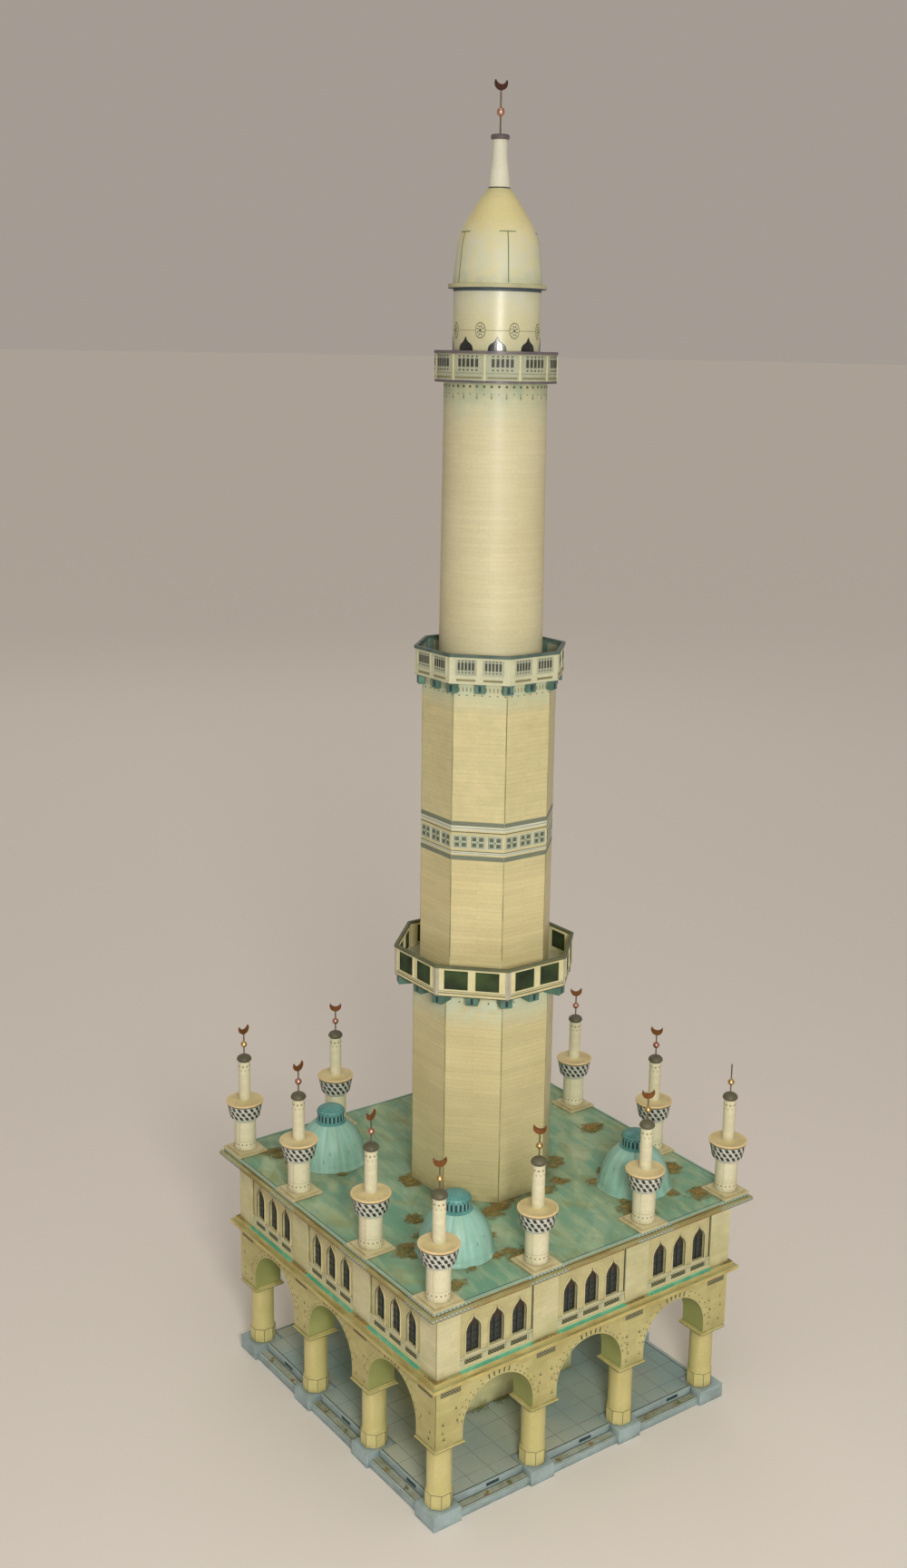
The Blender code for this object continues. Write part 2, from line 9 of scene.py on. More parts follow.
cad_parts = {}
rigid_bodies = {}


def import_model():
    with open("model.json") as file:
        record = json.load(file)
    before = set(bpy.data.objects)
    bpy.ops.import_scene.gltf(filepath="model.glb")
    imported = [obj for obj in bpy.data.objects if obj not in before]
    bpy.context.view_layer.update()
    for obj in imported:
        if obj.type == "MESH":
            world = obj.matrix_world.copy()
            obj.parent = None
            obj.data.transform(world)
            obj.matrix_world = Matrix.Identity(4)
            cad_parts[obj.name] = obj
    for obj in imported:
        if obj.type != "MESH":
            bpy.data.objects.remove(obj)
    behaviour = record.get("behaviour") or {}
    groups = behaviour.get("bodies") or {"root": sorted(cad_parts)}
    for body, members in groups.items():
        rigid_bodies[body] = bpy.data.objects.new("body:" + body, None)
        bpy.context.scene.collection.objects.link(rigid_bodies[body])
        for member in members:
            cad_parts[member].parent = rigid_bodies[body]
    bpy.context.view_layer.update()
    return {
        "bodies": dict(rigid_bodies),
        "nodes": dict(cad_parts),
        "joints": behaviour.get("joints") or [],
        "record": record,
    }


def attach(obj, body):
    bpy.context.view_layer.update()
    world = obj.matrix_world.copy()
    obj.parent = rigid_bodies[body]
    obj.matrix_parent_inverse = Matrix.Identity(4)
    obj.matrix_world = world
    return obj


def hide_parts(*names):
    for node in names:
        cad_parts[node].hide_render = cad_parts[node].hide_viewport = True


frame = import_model()
nodes = frame["nodes"]

# Lengths below are in millimetres; meshes are brought to metres when a piece is finished
perMetre = 1000.0
sides = {"front": 0, "right": 90, "back": 180, "left": 270}
eighths = [45 * k for k in range(8)]
# On an eight-sided body: half a face's width and a corner's reach, both for a face 1 from the axis
eighthHalf, eighthCorner = math.tan(math.pi / 8), 1 / math.cos(math.pi / 8)
surfaces = {}


# node tree helpers

def sheen(code):
    # A colour as seen on screen, in six hex digits, to Blender's linear colour
    shown = [int(code[k:k + 2], 16) / 255.0 for k in (0, 2, 4)]
    return (*(v / 12.92 if v <= 0.04045 else ((v + 0.055) / 1.055) ** 2.4 for v in shown), 1.0)


def addNode(tree, kind, inputs=None, **settings):
    made = tree.nodes.new("ShaderNode" + kind)
    for key, value in settings.items():
        setattr(made, key, value)
    for key, value in (inputs or {}).items():
        if isinstance(value, bpy.types.NodeSocket):
            tree.links.new(value, made.inputs[key])
        else:
            made.inputs[key].default_value = value
    return made


def useGroup(tree, group, *values):
    return addNode(tree, "Group", dict(enumerate(values)), node_tree=group).outputs


def calc(tree, operation, *values):
    return addNode(tree, "Math", dict(enumerate(values)), operation=operation).outputs[0]


def times(tree, first, *others):
    for other in others:
        first = calc(tree, "MULTIPLY", first, other)
    return first


def scaled(tree, vector, factor):
    return addNode(tree, "VectorMath", {0: vector, "Scale": factor}, operation="SCALE").outputs[0]


def stretched(tree, vector, by):
    return addNode(tree, "VectorMath", {0: vector, 1: by}, operation="MULTIPLY").outputs[0]


def splitUp(tree, vector):
    return addNode(tree, "SeparateXYZ", {0: vector}).outputs


def joined(tree, *values):
    return addNode(tree, "CombineXYZ", dict(enumerate(values))).outputs[0]


def mixColours(tree, share, first, second):
    return addNode(tree, "Mix", {0: share, 6: first, 7: second}, data_type="RGBA").outputs[2]


def remap(tree, value, lowIn, highIn, lowOut=0.0, highOut=1.0):
    inputs = {"Value": value, 1: lowIn, 2: highIn, 3: lowOut, 4: highOut}
    return addNode(tree, "MapRange", inputs).outputs[0]


def position(tree):
    return addNode(tree, "NewGeometry").outputs["Position"]


def noise(tree, scale, detail=2.0, vector=None):
    inputs = {"Vector": vector or position(tree), "Scale": scale, "Detail": detail}
    return addNode(tree, "TexNoise", inputs).outputs["Fac"]


# effects that materials share

def faceCoordinates(tree):
    # In mm: Flat runs along a wall and up, Round around a turned part, Flank the same for a tapering one
    seen = addNode(tree, "TexCoord").outputs
    x, y, z = splitUp(tree, scaled(tree, seen["Object"], perMetre))
    nx, ny, _ = splitUp(tree, seen["Normal"])
    along = calc(tree, "SUBTRACT", times(tree, y, nx), times(tree, x, ny))
    reach = calc(tree, "SQRT", calc(tree, "ADD", times(tree, x, x), times(tree, y, y)))
    around = times(tree, calc(tree, "ARCTAN2", y, x), reach)
    east, north = (times(tree, calc(tree, "DIVIDE", value, reach), 9.0) for value in (x, y))
    return [joined(tree, along, z), joined(tree, around, z), joined(tree, east, z, north)]


def paperGrain(tree, colour, shade, mottle, fibre, blotch):
    # Two tones in soft blotches, with fine fibres
    share = times(tree, remap(tree, noise(tree, blotch, 4.0), 0.36, 0.66), mottle)
    fine = noise(tree, 1500.0, 3.0)
    spread = times(tree, calc(tree, "SUBTRACT", fine, 0.5), fibre, 4.0)
    toned = scaled(tree, mixColours(tree, share, colour, shade), calc(tree, "ADD", 1.0, spread))
    return [toned, noise(tree, 5200.0), fine]


def courses(tree, colour, rows, length, line, strength, tint, place):
    # Printed masonry: faint joints and a slight tint from block to block
    bricks = addNode(tree, "TexBrick", {
        "Vector": place, "Color1": (1, 1, 1, 1), "Color2": (0, 0, 0, 1), "Mortar": (0.5, 0.5, 0.5, 1),
        "Scale": 1.0, "Mortar Size": 0.05, "Mortar Smooth": 0.6, "Brick Width": length,
        "Row Height": rows}).outputs
    tone = calc(tree, "MULTIPLY_ADD", remap(tree, bricks["Color"], 0.0, 1.0, -1.0), tint, 1.0)
    patchy = remap(tree, noise(tree, 1.0, 3.0, stretched(tree, place, (0.09, 0.8, 1.0))), 0.38, 0.62, 0.1)
    share = times(tree, bricks["Fac"], strength, patchy)
    return [mixColours(tree, share, scaled(tree, colour, tone), line)]


def lattice(tree, colour, pitch, width, slope, line, place):
    # Two sets of crossing lines
    x, y, _ = splitUp(tree, place)
    lines = []
    for operation in ("ADD", "SUBTRACT"):
        run = calc(tree, "DIVIDE", calc(tree, operation, x, times(tree, y, slope)), pitch)
        swing = calc(tree, "ABSOLUTE", calc(tree, "SUBTRACT", calc(tree, "FRACT", run), 0.5))
        lines.append(calc(tree, "LESS_THAN", swing, times(tree, width, 0.5)))
    return [mixColours(tree, calc(tree, "MAXIMUM", *lines), colour, line)]


def stain(tree, colour, dirt, dark, clean, amount):
    # A tint by height, at its full amount from the height dark on and gone at clean (mm), broken up by noise:
    # washed-in dirt on some surfaces, and painted shade under the column imposts and a painted highlight at
    # the lantern's top
    height = times(tree, splitUp(tree, position(tree))[2], perMetre)
    broken = remap(tree, noise(tree, 320.0, 4.0), 0.35, 0.65, 0.35)
    share = times(tree, remap(tree, height, dark, clean, 1.0, 0.0), broken, amount)
    return [mixColours(tree, share, colour, dirt)]


def brushWash(tree, colour, first, second, amount, size, turn):
    # Streaky washes of two colours, as from a broad brush
    turned = addNode(tree, "VectorRotate", {"Vector": position(tree), "Angle": turn}, rotation_type="Z_AXIS")
    drawn = stretched(tree, turned.outputs[0], (1.0, 0.22, 1.0))
    broad = times(tree, remap(tree, noise(tree, size, 5.0, drawn), 0.44, 0.56), amount)
    narrow = times(tree, remap(tree, noise(tree, times(tree, size, 1.7), 4.0, drawn), 0.5, 0.62), amount)
    return [mixColours(tree, narrow, mixColours(tree, broad, colour, first), second)]


def strokes(tree, colour, stroke, amount, width, place):
    # Brush strokes that run up a surface; pale ones are painted highlights as well as brush streaks
    drawn = stretched(tree, place, (1.0, 0.13, 1.0))
    share = remap(tree, noise(tree, calc(tree, "DIVIDE", 1.0, width), 4.0, drawn), 0.46, 0.6)
    return [mixColours(tree, times(tree, share, amount), colour, stroke)]


def creviceShadeAndDirt(tree, colour, dirt, amount, reach):
    # Darkening where surfaces meet, from ambient occlusion: painted shade, and dirt settled there
    opening = addNode(tree, "AmbientOcclusion", {"Distance": reach}, samples=6).outputs["AO"]
    broken = remap(tree, noise(tree, 260.0, 4.0), 0.36, 0.58, 0.35)
    share = times(tree, remap(tree, opening, 0.35, 0.95, 1.0, 0.0), amount, broken)
    return [mixColours(tree, share, colour, dirt)]


# Sockets that hold something else than a number
socketKinds = dict.fromkeys("Colour Shade Line Stain First Second Stroke Dirt".split(), "Color")
socketKinds.update(dict.fromkeys("Place Flat Round Flank".split(), "Vector"))


def makeGroup(build, inputs, outputs):
    tree = bpy.data.node_groups.new(build.__name__, "ShaderNodeTree")
    for way, labels in (("INPUT", inputs), ("OUTPUT", outputs)):
        for label in labels:
            kind = "NodeSocket" + socketKinds.get(label, "Float")
            tree.interface.new_socket(label, in_out=way, socket_type=kind)
    given = tree.nodes.new("NodeGroupInput").outputs[:len(inputs)]
    result = tree.nodes.new("NodeGroupOutput").inputs
    for label, made in zip(outputs, build(tree, *given)):
        tree.links.new(made, result[label])
    return tree


effects = {build.__name__: makeGroup(build, inputs.split(), outputs.split()) for build, inputs, outputs in (
    (faceCoordinates, "", "Flat Round Flank"),
    (paperGrain, "Colour Shade Mottle Fibre Blotch", "Colour Height Tone"),
    (courses, "Colour Rows Length Line Strength Tint Place", "Colour"),
    (lattice, "Colour Pitch Width Slope Line Place", "Colour"),
    (stain, "Colour Stain Dark Clean Amount", "Colour"),
    (brushWash, "Colour First Second Amount Size Turn", "Colour"),
    (strokes, "Colour Stroke Amount Width Place", "Colour"),
    (creviceShadeAndDirt, "Colour Dirt Amount Reach", "Colour"))}
placed = ("courses", "lattice", "strokes")  # effects that need a place on the surface
print("effects ready")


# materials

plainCard = {"fibre": 0.05, "bump": 0.25, "roughness": (0.5, 0.68), "metallic": 0.0, "coat": 0.0,
             "along": "Flat"}
# Colour, shade, mottle and blotch size of each finish, its effects with their values,
# then what differs from plain card
# Every crevice step in the finishes is painted shade where surfaces meet, with dirt settled there
cardFinishes = {
    "creamCard": ("d6cfa4", "bab47c", 0.7, 75, ("brushWash", "dcdab8", "bcc090", 0.3, 40, 0.3),
        ("courses", 1.6, 4.2, "968a60", 0.35, 0.05), ("stain", "888654", 69, 66, 0.4),
        ("stain", "8c8450", 47.2, 50, 0.4), ("creviceShadeAndDirt", "686230", 0.45, 0.003), {"coat": 0.15}),
    "coreCard": ("ece8b8", "d0d098", 0.9, 60, ("courses", 1.6, 4.2, "968a60", 0.35, 0.05),
        ("stain", "545c32", 4, 10, 0.85), ("creviceShadeAndDirt", "686230", 0.45, 0.003)),
    "pierCard": ("c8c086", "b0a666", 0.75, 80, ("courses", 1.9, 3.6, "8c825c", 0.45, 0.06),
        ("stain", "8a824a", 26, 29.5, 0.45), ("stain", "968c54", 45, 41.5, 0.4),
        ("creviceShadeAndDirt", "686230", 0.5, 0.003), {"coat": 0.15}),
    "shaftCard": ("d0c596", "c2b482", 0.5, 45, ("courses", 1.28, 17, "8e8862", 0.75, 0.05),
        ("stain", "787646", 70, 80, 0.5), ("stain", "c4d2bc", 134.5, 126, 1),
        ("creviceShadeAndDirt", "6e7454", 0.35, 0.003), {"coat": 0.25, "roughness": (0.42, 0.58)}),
    "middleShaftCard": ("d2c696", "c4b584", 0.5, 45, ("courses", 1.28, 17, "8e8862", 0.75, 0.05),
        ("stain", "beccb6", 227, 221, 0.95), ("stain", "969c76", 177, 170, 0.25),
        ("creviceShadeAndDirt", "6e7454", 0.35, 0.003), {"coat": 0.25, "roughness": (0.42, 0.58)}),
    "roundShaftCard": ("cec7a3", "c1b78d", 0.5, 45, ("courses", 1.28, 17, "9c9676", 0.45, 0.03),
        ("stain", "b8c4aa", 309, 299, 0.8), ("stain", "788c72", 312, 305, 0.55),
        ("creviceShadeAndDirt", "6e7454", 0.35, 0.003), {"along": "Round", "coat": 0.12, "roughness": (0.48, 0.62)}),
    # The lantern's pale bluish tint, fading out from 336 down to 329, is a painted highlight
    "lanternCard": ("d2cea8", "c0bc92", 0.5, 60, ("stain", "ced4c8", 336, 329, 0.7),
        ("stain", "b8b070", 313, 319, 0.45), ("creviceShadeAndDirt", "787e60", 0.4, 0.003),
        {"coat": 0.35, "roughness": (0.36, 0.5)}),
    # The column's olive tint, fading out from the impost down to 21.5, is painted shade under the impost
    "columnCard": ("d6cc8e", "c0b66c", 0.45, 130, ("stain", "807c3c", 26, 21.5, 0.35),
        ("creviceShadeAndDirt", "6e6a30", 0.5, 0.002), {"coat": 0.15, "roughness": (0.45, 0.6)}),
    "soffitCard": ("a6ac6c", "8c9256", 0.7, 90, {"coat": 0.1}),
    "stoneBlue": ("a8bcc0", "8c9e9e", 0.8, 160, ("creviceShadeAndDirt", "464e46", 0.6, 0.002),
        {"fibre": 0.09, "roughness": (0.6, 0.8)}),
    "flagCard": ("b8beae", "8aa8ac", 0.9, 26, ("creviceShadeAndDirt", "545c52", 0.6, 0.006),
        {"fibre": 0.06, "roughness": (0.55, 0.75)}),
    "treadCard": ("a8b0a0", "888868", 0.9, 240, {"fibre": 0.09, "roughness": (0.6, 0.8)}),
    "flagJoint": ("848e8c", "969a8e", 0.7, 90), "kerbPale": ("bacaca", "a0b0b0", 0.7, 240),
    "inkTeal": ("263c40", "3c5454", 0.6, 200), "inkDark": ("424232", "686448", 0.7, 240),
    "inkBrown": ("786438", "96824c", 0.7, 240),
    "lipYellow": ("cec27e", "ae9a5c", 0.8, 120, ("courses", 5, 2.4, "8c703e", 0.4, 0.08),
        ("creviceShadeAndDirt", "785c2c", 0.5, 0.002)), "ledgeTop": ("b0b07c", "96844a", 0.9, 110),
    "ledgeAqua": ("68b892", "8cc4a2", 0.6, 90, ("brushWash", "54a48a", "a0cca8", 0.5, 160, 0.6)),
    "roofWash": ("9eb894", "929a68", 0.8, 38, ("brushWash", "649e88", "bac8a4", 0.7, 80, 0.8),
        ("brushWash", "76a890", "8e925e", 0.5, 105, -0.75), ("brushWash", "689a84", "a8bc96", 0.5, 230, 0.1),
        ("creviceShadeAndDirt", "706430", 0.95, 0.007), {"roughness": (0.6, 0.8)}),
    "roofLine": ("a0c4b8", "8cb0a0", 0.6, 160),
    "roofLip": ("beac74", "a08a52", 0.8, 140, ("lattice", 0.95, 0.34, 1, "7e7046")),
    "zigzagBlue": ("c4ccb8", "aab4a4", 0.5, 90, ("lattice", 1.3, 0.36, 1.4, "748074")),
    "frameCream": ("dad4aa", "c8be8c", 0.5, 160), "framePale": ("c8c8aa", "b2b494", 0.6, 160),
    "sillCream": ("c8c6a4", "b0b292", 0.6, 160),
    "bayCream": ("cec696", "b8ae7a", 0.5, 90, ("courses", 1.6, 4, "968a5c", 0.3, 0.05),
        ("creviceShadeAndDirt", "686230", 0.7, 0.002)),
    "glassDark": ("161c1a", "10161a", 0.8, 260, {"roughness": (0.16, 0.3), "coat": 0.5, "bump": 0.08}),
    "glassBar": ("38443e", "283230", 0.5, 260), "headBrown": ("3a281c", "282018", 0.8, 260, {"coat": 0.3}),
    "apronLattice": ("b0ae84", "90926c", 0.5, 90, ("lattice", 0.98, 0.56, 1, "3c4230")),
    "friezeLattice": ("c0bc92", "a8a47a", 0.5, 90, ("lattice", 0.9, 0.5, 1, "4e4e3a")),
    "panelGreen": ("16240e", "3a4e26", 0.9, 130, {"roughness": (0.75, 0.9)}),
    "panelPale": ("aaae96", "949c88", 0.6, 220), "slitDark": ("343632", "4c4c42", 0.6, 260),
    "railOlive": ("787452", "908a60", 0.6, 220),
    "bracketTeal": ("588072", "34544c", 0.8, 260, {"coat": 0.2}),
    "bracketStripe": ("22363a", "16262c", 0.5, 260),
    "copingTeal": ("546860", "384c46", 0.8, 200, {"coat": 0.2}),
    "copingPurple": ("5c545c", "746a68", 0.8, 200, {"coat": 0.2}),
    "copingOlive": ("64684a", "4e563e", 0.8, 200), "innerTeal": ("70887c", "546c62", 0.6, 160),
    "whiteStrip": ("ced0bc", "bcc0aa", 0.5, 160), "tileGround": ("b0b89e", "96a28e", 0.5, 220),
    "tileDark": ("50584c", "68705e", 0.6, 260),
    "tileBorder": ("a4aa90", "8c947c", 0.5, 90, ("lattice", 0.8, 0.4, 1, "485246")),
    "domeCard": ("ded298", "cac48e", 0.6, 55, ("stain", "d0d2be", 349.5, 356, 0.85),
        ("stain", "caceb4", 346, 352, 0.7), ("stain", "92a080", 338.5, 343, 0.45),
        ("stain", "a4a880", 364.5, 360.5, 0.6), {"coat": 0.3, "roughness": (0.42, 0.6)}),
    "seamGreen": ("607456", "7a8664", 0.7, 220), "spireCard": ("dedcc8", "c8c8b4", 0.5, 160, {"coat": 0.25}),
    "eaveCard": ("beba92", "a0a080", 0.7, 160), "eaveShade": ("46525c", "5c6464", 0.6, 200),
    "drumCream": ("ded9ba", "ccc6a2", 0.5, 90, ("courses", 1.5, 2.4, "aaa27c", 0.3, 0.04),
        ("creviceShadeAndDirt", "787654", 0.5, 0.0015), {"along": "Round", "coat": 0.15}),
    "ringPattern": ("d6d8ce", "c4c8be", 0.4, 260), "ringDark": ("242826", "383c38", 0.5, 260),
    "flarePale": ("ced4cc", "bac2b8", 0.5, 260), "discPeach": ("e6ce9c", "d4b880", 0.6, 200),
    "plinthPeach": ("d2c89e", "bcae80", 0.7, 200, ("creviceShadeAndDirt", "68643c", 0.6, 0.0015)),
    # The darker of the two disc peaches, on the top inside the rim, is painted shade
    "discInner": ("daca98", "beae76", 0.8, 160), "seamSoft": ("b0a876", "c4bc8c", 0.9, 220),
    "seamGrey": ("bab4a4", "a4a08c", 0.8, 160), "edgeLine": ("707246", "a8a270", 1, 120),
    "capOlive": ("605c46", "484836", 0.7, 300, {"roughness": (0.5, 0.65), "coat": 0.1}),
    # The roof domes' pale strokes are brush streaks and painted highlights; the dark strokes are brush
    # streaks
    "domeAqua": ("96c8ba", "7aa892", 0.5, 60, ("strokes", "b6ded4", 0.75, 7),
        ("strokes", "6a9e8c", 0.45, 4.4), ("strokes", "c4e6de", 0.3, 2.2), ("strokes", "768058", 0.2, 1.4),
        ("stain", "68947c", 71.2, 74, 0.45), ("creviceShadeAndDirt", "4a644e", 0.5, 0.002),
        {"along": "Flank", "coat": 0.15, "roughness": (0.5, 0.65)}),
    "domeStreak": ("467068", "60867a", 0.7, 260), "capTeal": ("609e98", "427c78", 0.7, 260, {"coat": 0.3}),
    "capSlit": ("1e3c48", "2c4c54", 0.5, 260), "capLight": ("96c6be", "78aca8", 0.5, 260),
    "capPurple": ("685c60", "4e464c", 0.6, 300, {"coat": 0.2}),
    "patinaRust": ("a08248", "8a6a38", 0.8, 500, {"roughness": (0.8, 0.95)}),
    "patinaOlive": ("86743c", "6c6030", 0.8, 500, {"roughness": (0.8, 0.95)}),
    "patinaGreen": ("747e4c", "606e42", 0.8, 500, {"roughness": (0.8, 0.95)}),
    "patinaStain": ("8e763a", "928a50", 1, 240, {"worn": (520, 1.1, 1.75), "roughness": (0.7, 0.85)}),
    "brass": ("debe80", "b48c54", 0.5, 500, {"metallic": 1, "roughness": (0.25, 0.4), "bump": 0.1}),
    "rosyMetal": ("d6a694", "966454", 0.5, 500, {"metallic": 1, "roughness": (0.25, 0.4), "bump": 0.1}),
    "darkCopper": ("542c1a", "301c14", 0.5, 500, {"metallic": 0.4, "roughness": (0.45, 0.6), "bump": 0.1}),
    "copper": ("845224", "54341a", 0.5, 500, {"metallic": 0.4, "roughness": (0.45, 0.6), "bump": 0.1}),
    "wireGrey": ("7c6c58", "544838", 0.5, 500, {"metallic": 0.5, "roughness": (0.35, 0.5), "bump": 0.1}),
}


def makeCard(name, colour, shade, mottle, blotch, *details):
    # Printed and varnished card
    steps = [detail for detail in details if isinstance(detail, tuple)]
    look = dict(plainCard)
    look.update(*details[len(steps):])
    made = surfaces[name] = bpy.data.materials.new(name)
    made.use_nodes = True
    tree = made.node_tree
    shader = tree.nodes["Principled BSDF"].inputs
    grain = useGroup(tree, effects["paperGrain"], sheen(colour), sheen(shade), mottle, look["fibre"], blotch)
    shown = grain["Colour"]
    if any(effect in placed for effect, *_ in steps):
        across = useGroup(tree, effects["faceCoordinates"])[look["along"]]
    for effect, *values in steps:
        values = [sheen(value) if isinstance(value, str) else value for value in values]
        if effect in placed:
            values.append(across)
        shown = useGroup(tree, effects[effect], shown, *values)["Colour"]
    tree.links.new(shown, shader["Base Color"])
    tree.links.new(remap(tree, grain["Tone"], 0.3, 0.7, *look["roughness"]), shader["Roughness"])
    bump = addNode(tree, "Bump", {"Height": grain["Height"], "Strength": look["bump"], "Distance": 0.0001})
    tree.links.new(bump.outputs[0], shader["Normal"])
    shader["Metallic"].default_value = look["metallic"]
    shader["Coat Weight"].default_value = look["coat"]
    shader["Coat Roughness"].default_value = 0.3
    if "worn" in look:
        # Thick in the middle of a stain, gone at its ragged edge
        size, gone, full = look["worn"]
        middle = addNode(tree, "Attribute", attribute_name="wear").outputs["Fac"]
        thick = calc(tree, "MULTIPLY_ADD", noise(tree, size, 4.0), 1.6, middle)
        tree.links.new(remap(tree, thick, gone, full, 0.0, 0.9), shader["Alpha"])


for finishName, finish in cardFinishes.items():
    makeCard(finishName, *finish)
print("materials ready:", len(surfaces))


# mesh helpers

def spun(turn):
    return Matrix.Rotation(math.radians(turn), 3, "Z")


def onWall(turn, out, way=1):
    # Flat face seen from outside: along to the right, up, and lift away from it; way -1 is its inner side
    spin = spun(turn)
    return lambda along, up, lift: spin @ Vector((along, -(out + way * lift), up))


def onTop(turn, height):
    # Level surface: along to the right, up means outwards from the axis
    spin = spun(turn)
    return lambda along, up, lift: spin @ Vector((along, -up, height + lift))


def onRound(radius, turn):
    # Turned surface, its radius a number or a function of height, its turn counted from the front
    def point(along, up, lift):
        reach = radius(up) if callable(radius) else radius
        angle = math.radians(turn) + along / reach
        return Vector(((reach + lift) * math.sin(angle), -(reach + lift) * math.cos(angle), up))
    return point


def spans(rows, columns=1):
    # Rows of (height, low, high) to a grid
    return [[(low + (high - low) * i / columns, z) for i in range(columns + 1)] for z, low, high in rows]


def tilted(x, z, length, width, angle):
    # Small bar about a point, its length along the given angle
    c, s = math.cos(angle), math.sin(angle)
    corners = [(u * length / 2, v * width / 2) for v in (-1, 1) for u in (-1, 1)]
    spots = [(x + u * c - v * s, z + u * s + v * c) for u, v in corners]
    return [spots[:2], spots[2:]]


def addPatch(bm, grid, point, thick, index=0, sink=0.05):
    # Thin closed plate laid on a surface
    outer, inner = ([[bm.verts.new(point(a, u, lift)) for a, u in row] for row in grid]
                    for lift in (thick, -sink))
    rows, columns = len(grid), len(grid[0])
    faces = []
    for r in range(rows - 1):
        for c in range(columns - 1):
            faces.append((outer[r][c], outer[r][c + 1], outer[r + 1][c + 1], outer[r + 1][c]))
            faces.append((inner[r][c], inner[r + 1][c], inner[r + 1][c + 1], inner[r][c + 1]))
    rim = [(0, c) for c in range(columns)] + [(r, columns - 1) for r in range(1, rows)]
    rim += [(rows - 1, c) for c in range(columns - 2, -1, -1)] + [(r, 0) for r in range(rows - 2, 0, -1)]
    for (r, c), (s, d) in zip(rim, rim[1:] + rim[:1]):
        faces.append((outer[r][c], inner[r][c], inner[s][d], outer[s][d]))
    for corners in faces:
        bm.faces.new(corners).material_index = index


def addMarks(bm, point, rows, at=0.0, columns=1, sink=0.05):
    # Raised print from rows of (low, high, bottom, top, thickness, surface), moved along by at
    for low, high, bottom, top, thick, index in rows:
        grid = spans([(bottom, at + low, at + high), (top, at + low, at + high)], columns)
        addPatch(bm, grid, point, thick, index, sink)


def addFrame(bm, point, low, high, bottom, top, width, thick, index, at=0.0):
    inLow, inHigh = bottom + width, top - width
    for mark in ((low, high, bottom, inLow), (low, high, inHigh, top), (low, low + width, inLow, inHigh),
                 (high - width, high, inLow, inHigh)):
        addMarks(bm, point, [(*mark, thick, index)], at)


def addBlock(bm, low, high, turn=0, index=0):
    spin = spun(turn)
    made = bmesh.ops.create_cube(bm, size=1.0)["verts"]
    for vert in made:
        vert.co = spin @ Vector([c * (h - l) + (h + l) / 2 for c, l, h in zip(vert.co, low, high)])
    for face in {f for vert in made for f in vert.link_faces}:
        face.material_index = index


def addSkin(bm, rings, indices, hollow=False):
    # Faces between rings of points, closed at both ends or, when hollow, from the last ring to the first
    if hollow:
        rings, indices = rings + rings[:1], indices + indices[:1]
    else:
        bm.faces.new(rings[0][::-1]).material_index = indices[0]
        bm.faces.new(rings[-1]).material_index = indices[-1]
    for lower, upper, index in zip(rings, rings[1:], indices[1:]):
        for k in range(len(lower)):
            n = (k + 1) % len(lower)
            bm.faces.new((lower[k], lower[n], upper[n], upper[k])).material_index = index


def addLathe(bm, profile, count, turn=0.0, hollow=False):
    # Turned body from (radius, height, surface of the band below it) rows
    angles = [math.radians(turn) + 2 * math.pi * k / count for k in range(count)]
    rings = [[bm.verts.new((r * math.cos(a), r * math.sin(a), z)) for a in angles] for r, z, _ in profile]
    addSkin(bm, rings, [index for _, _, index in profile], hollow)


def bands(*groups):
    # Rows for addLathe from groups of one surface and its radii and heights by turns
    return [(r, z, index) for index, *pairs in groups for r, z in zip(pairs[::2], pairs[1::2])]


def reachOf(profile):
    # A turned body's radius as a function of height
    def reach(up):
        for (r0, z0, _), (r1, z1, _) in zip(profile, profile[1:]):
            if up <= z1:
                return r0 + (r1 - r0) * (up - z0) / (z1 - z0)
        return profile[-1][0]
    return reach


def copyNode(name, choose=lambda normal, middle: 0):
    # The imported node's own shape, its triangles joined back into whole faces, and a surface chosen for each
    bm = bmesh.new()
    bm.from_mesh(nodes[name].data)
    bmesh.ops.scale(bm, vec=(perMetre,) * 3, verts=bm.verts)
    bmesh.ops.remove_doubles(bm, verts=bm.verts, dist=0.001)
    bmesh.ops.dissolve_limit(bm, angle_limit=math.radians(1), verts=bm.verts, edges=bm.edges)
    for face in bm.faces:
        face.material_index = int(choose(face.normal, face.calc_center_median()))
    return bm


def finishPiece(name, bm, finishes, node="", smooth=False, **place):
    bmesh.ops.recalc_face_normals(bm, faces=bm.faces)
    bmesh.ops.scale(bm, vec=(1 / perMetre,) * 3, verts=bm.verts)
    mesh = bpy.data.meshes.new(name)
    bm.to_mesh(mesh)
    bm.free()
    for finish in finishes.split():
        mesh.materials.append(surfaces[finish])
    if smooth:
        mesh.shade_smooth()
        mesh.set_sharp_from_angle(angle=math.radians(32))
    return placePiece(name, mesh, node, **place)


def placePiece(name, mesh, node="", slot="cream_card", bevel=0.0, at=(0, 0), turn=0.0):
    piece = bpy.data.objects.new(name, mesh)
    bpy.context.scene.collection.objects.link(piece)
    piece.location[:2] = [v / perMetre for v in at]
    piece.rotation_euler[2] = math.radians(turn)
    if bevel:
        edge = piece.modifiers.new("softEdges", "BEVEL")
        edge.width, edge.segments = bevel / perMetre, 2
        edge.limit_method, edge.angle_limit = "ANGLE", math.radians(35)
    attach(piece, "root")
    if node:
        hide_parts(node)
    return piece


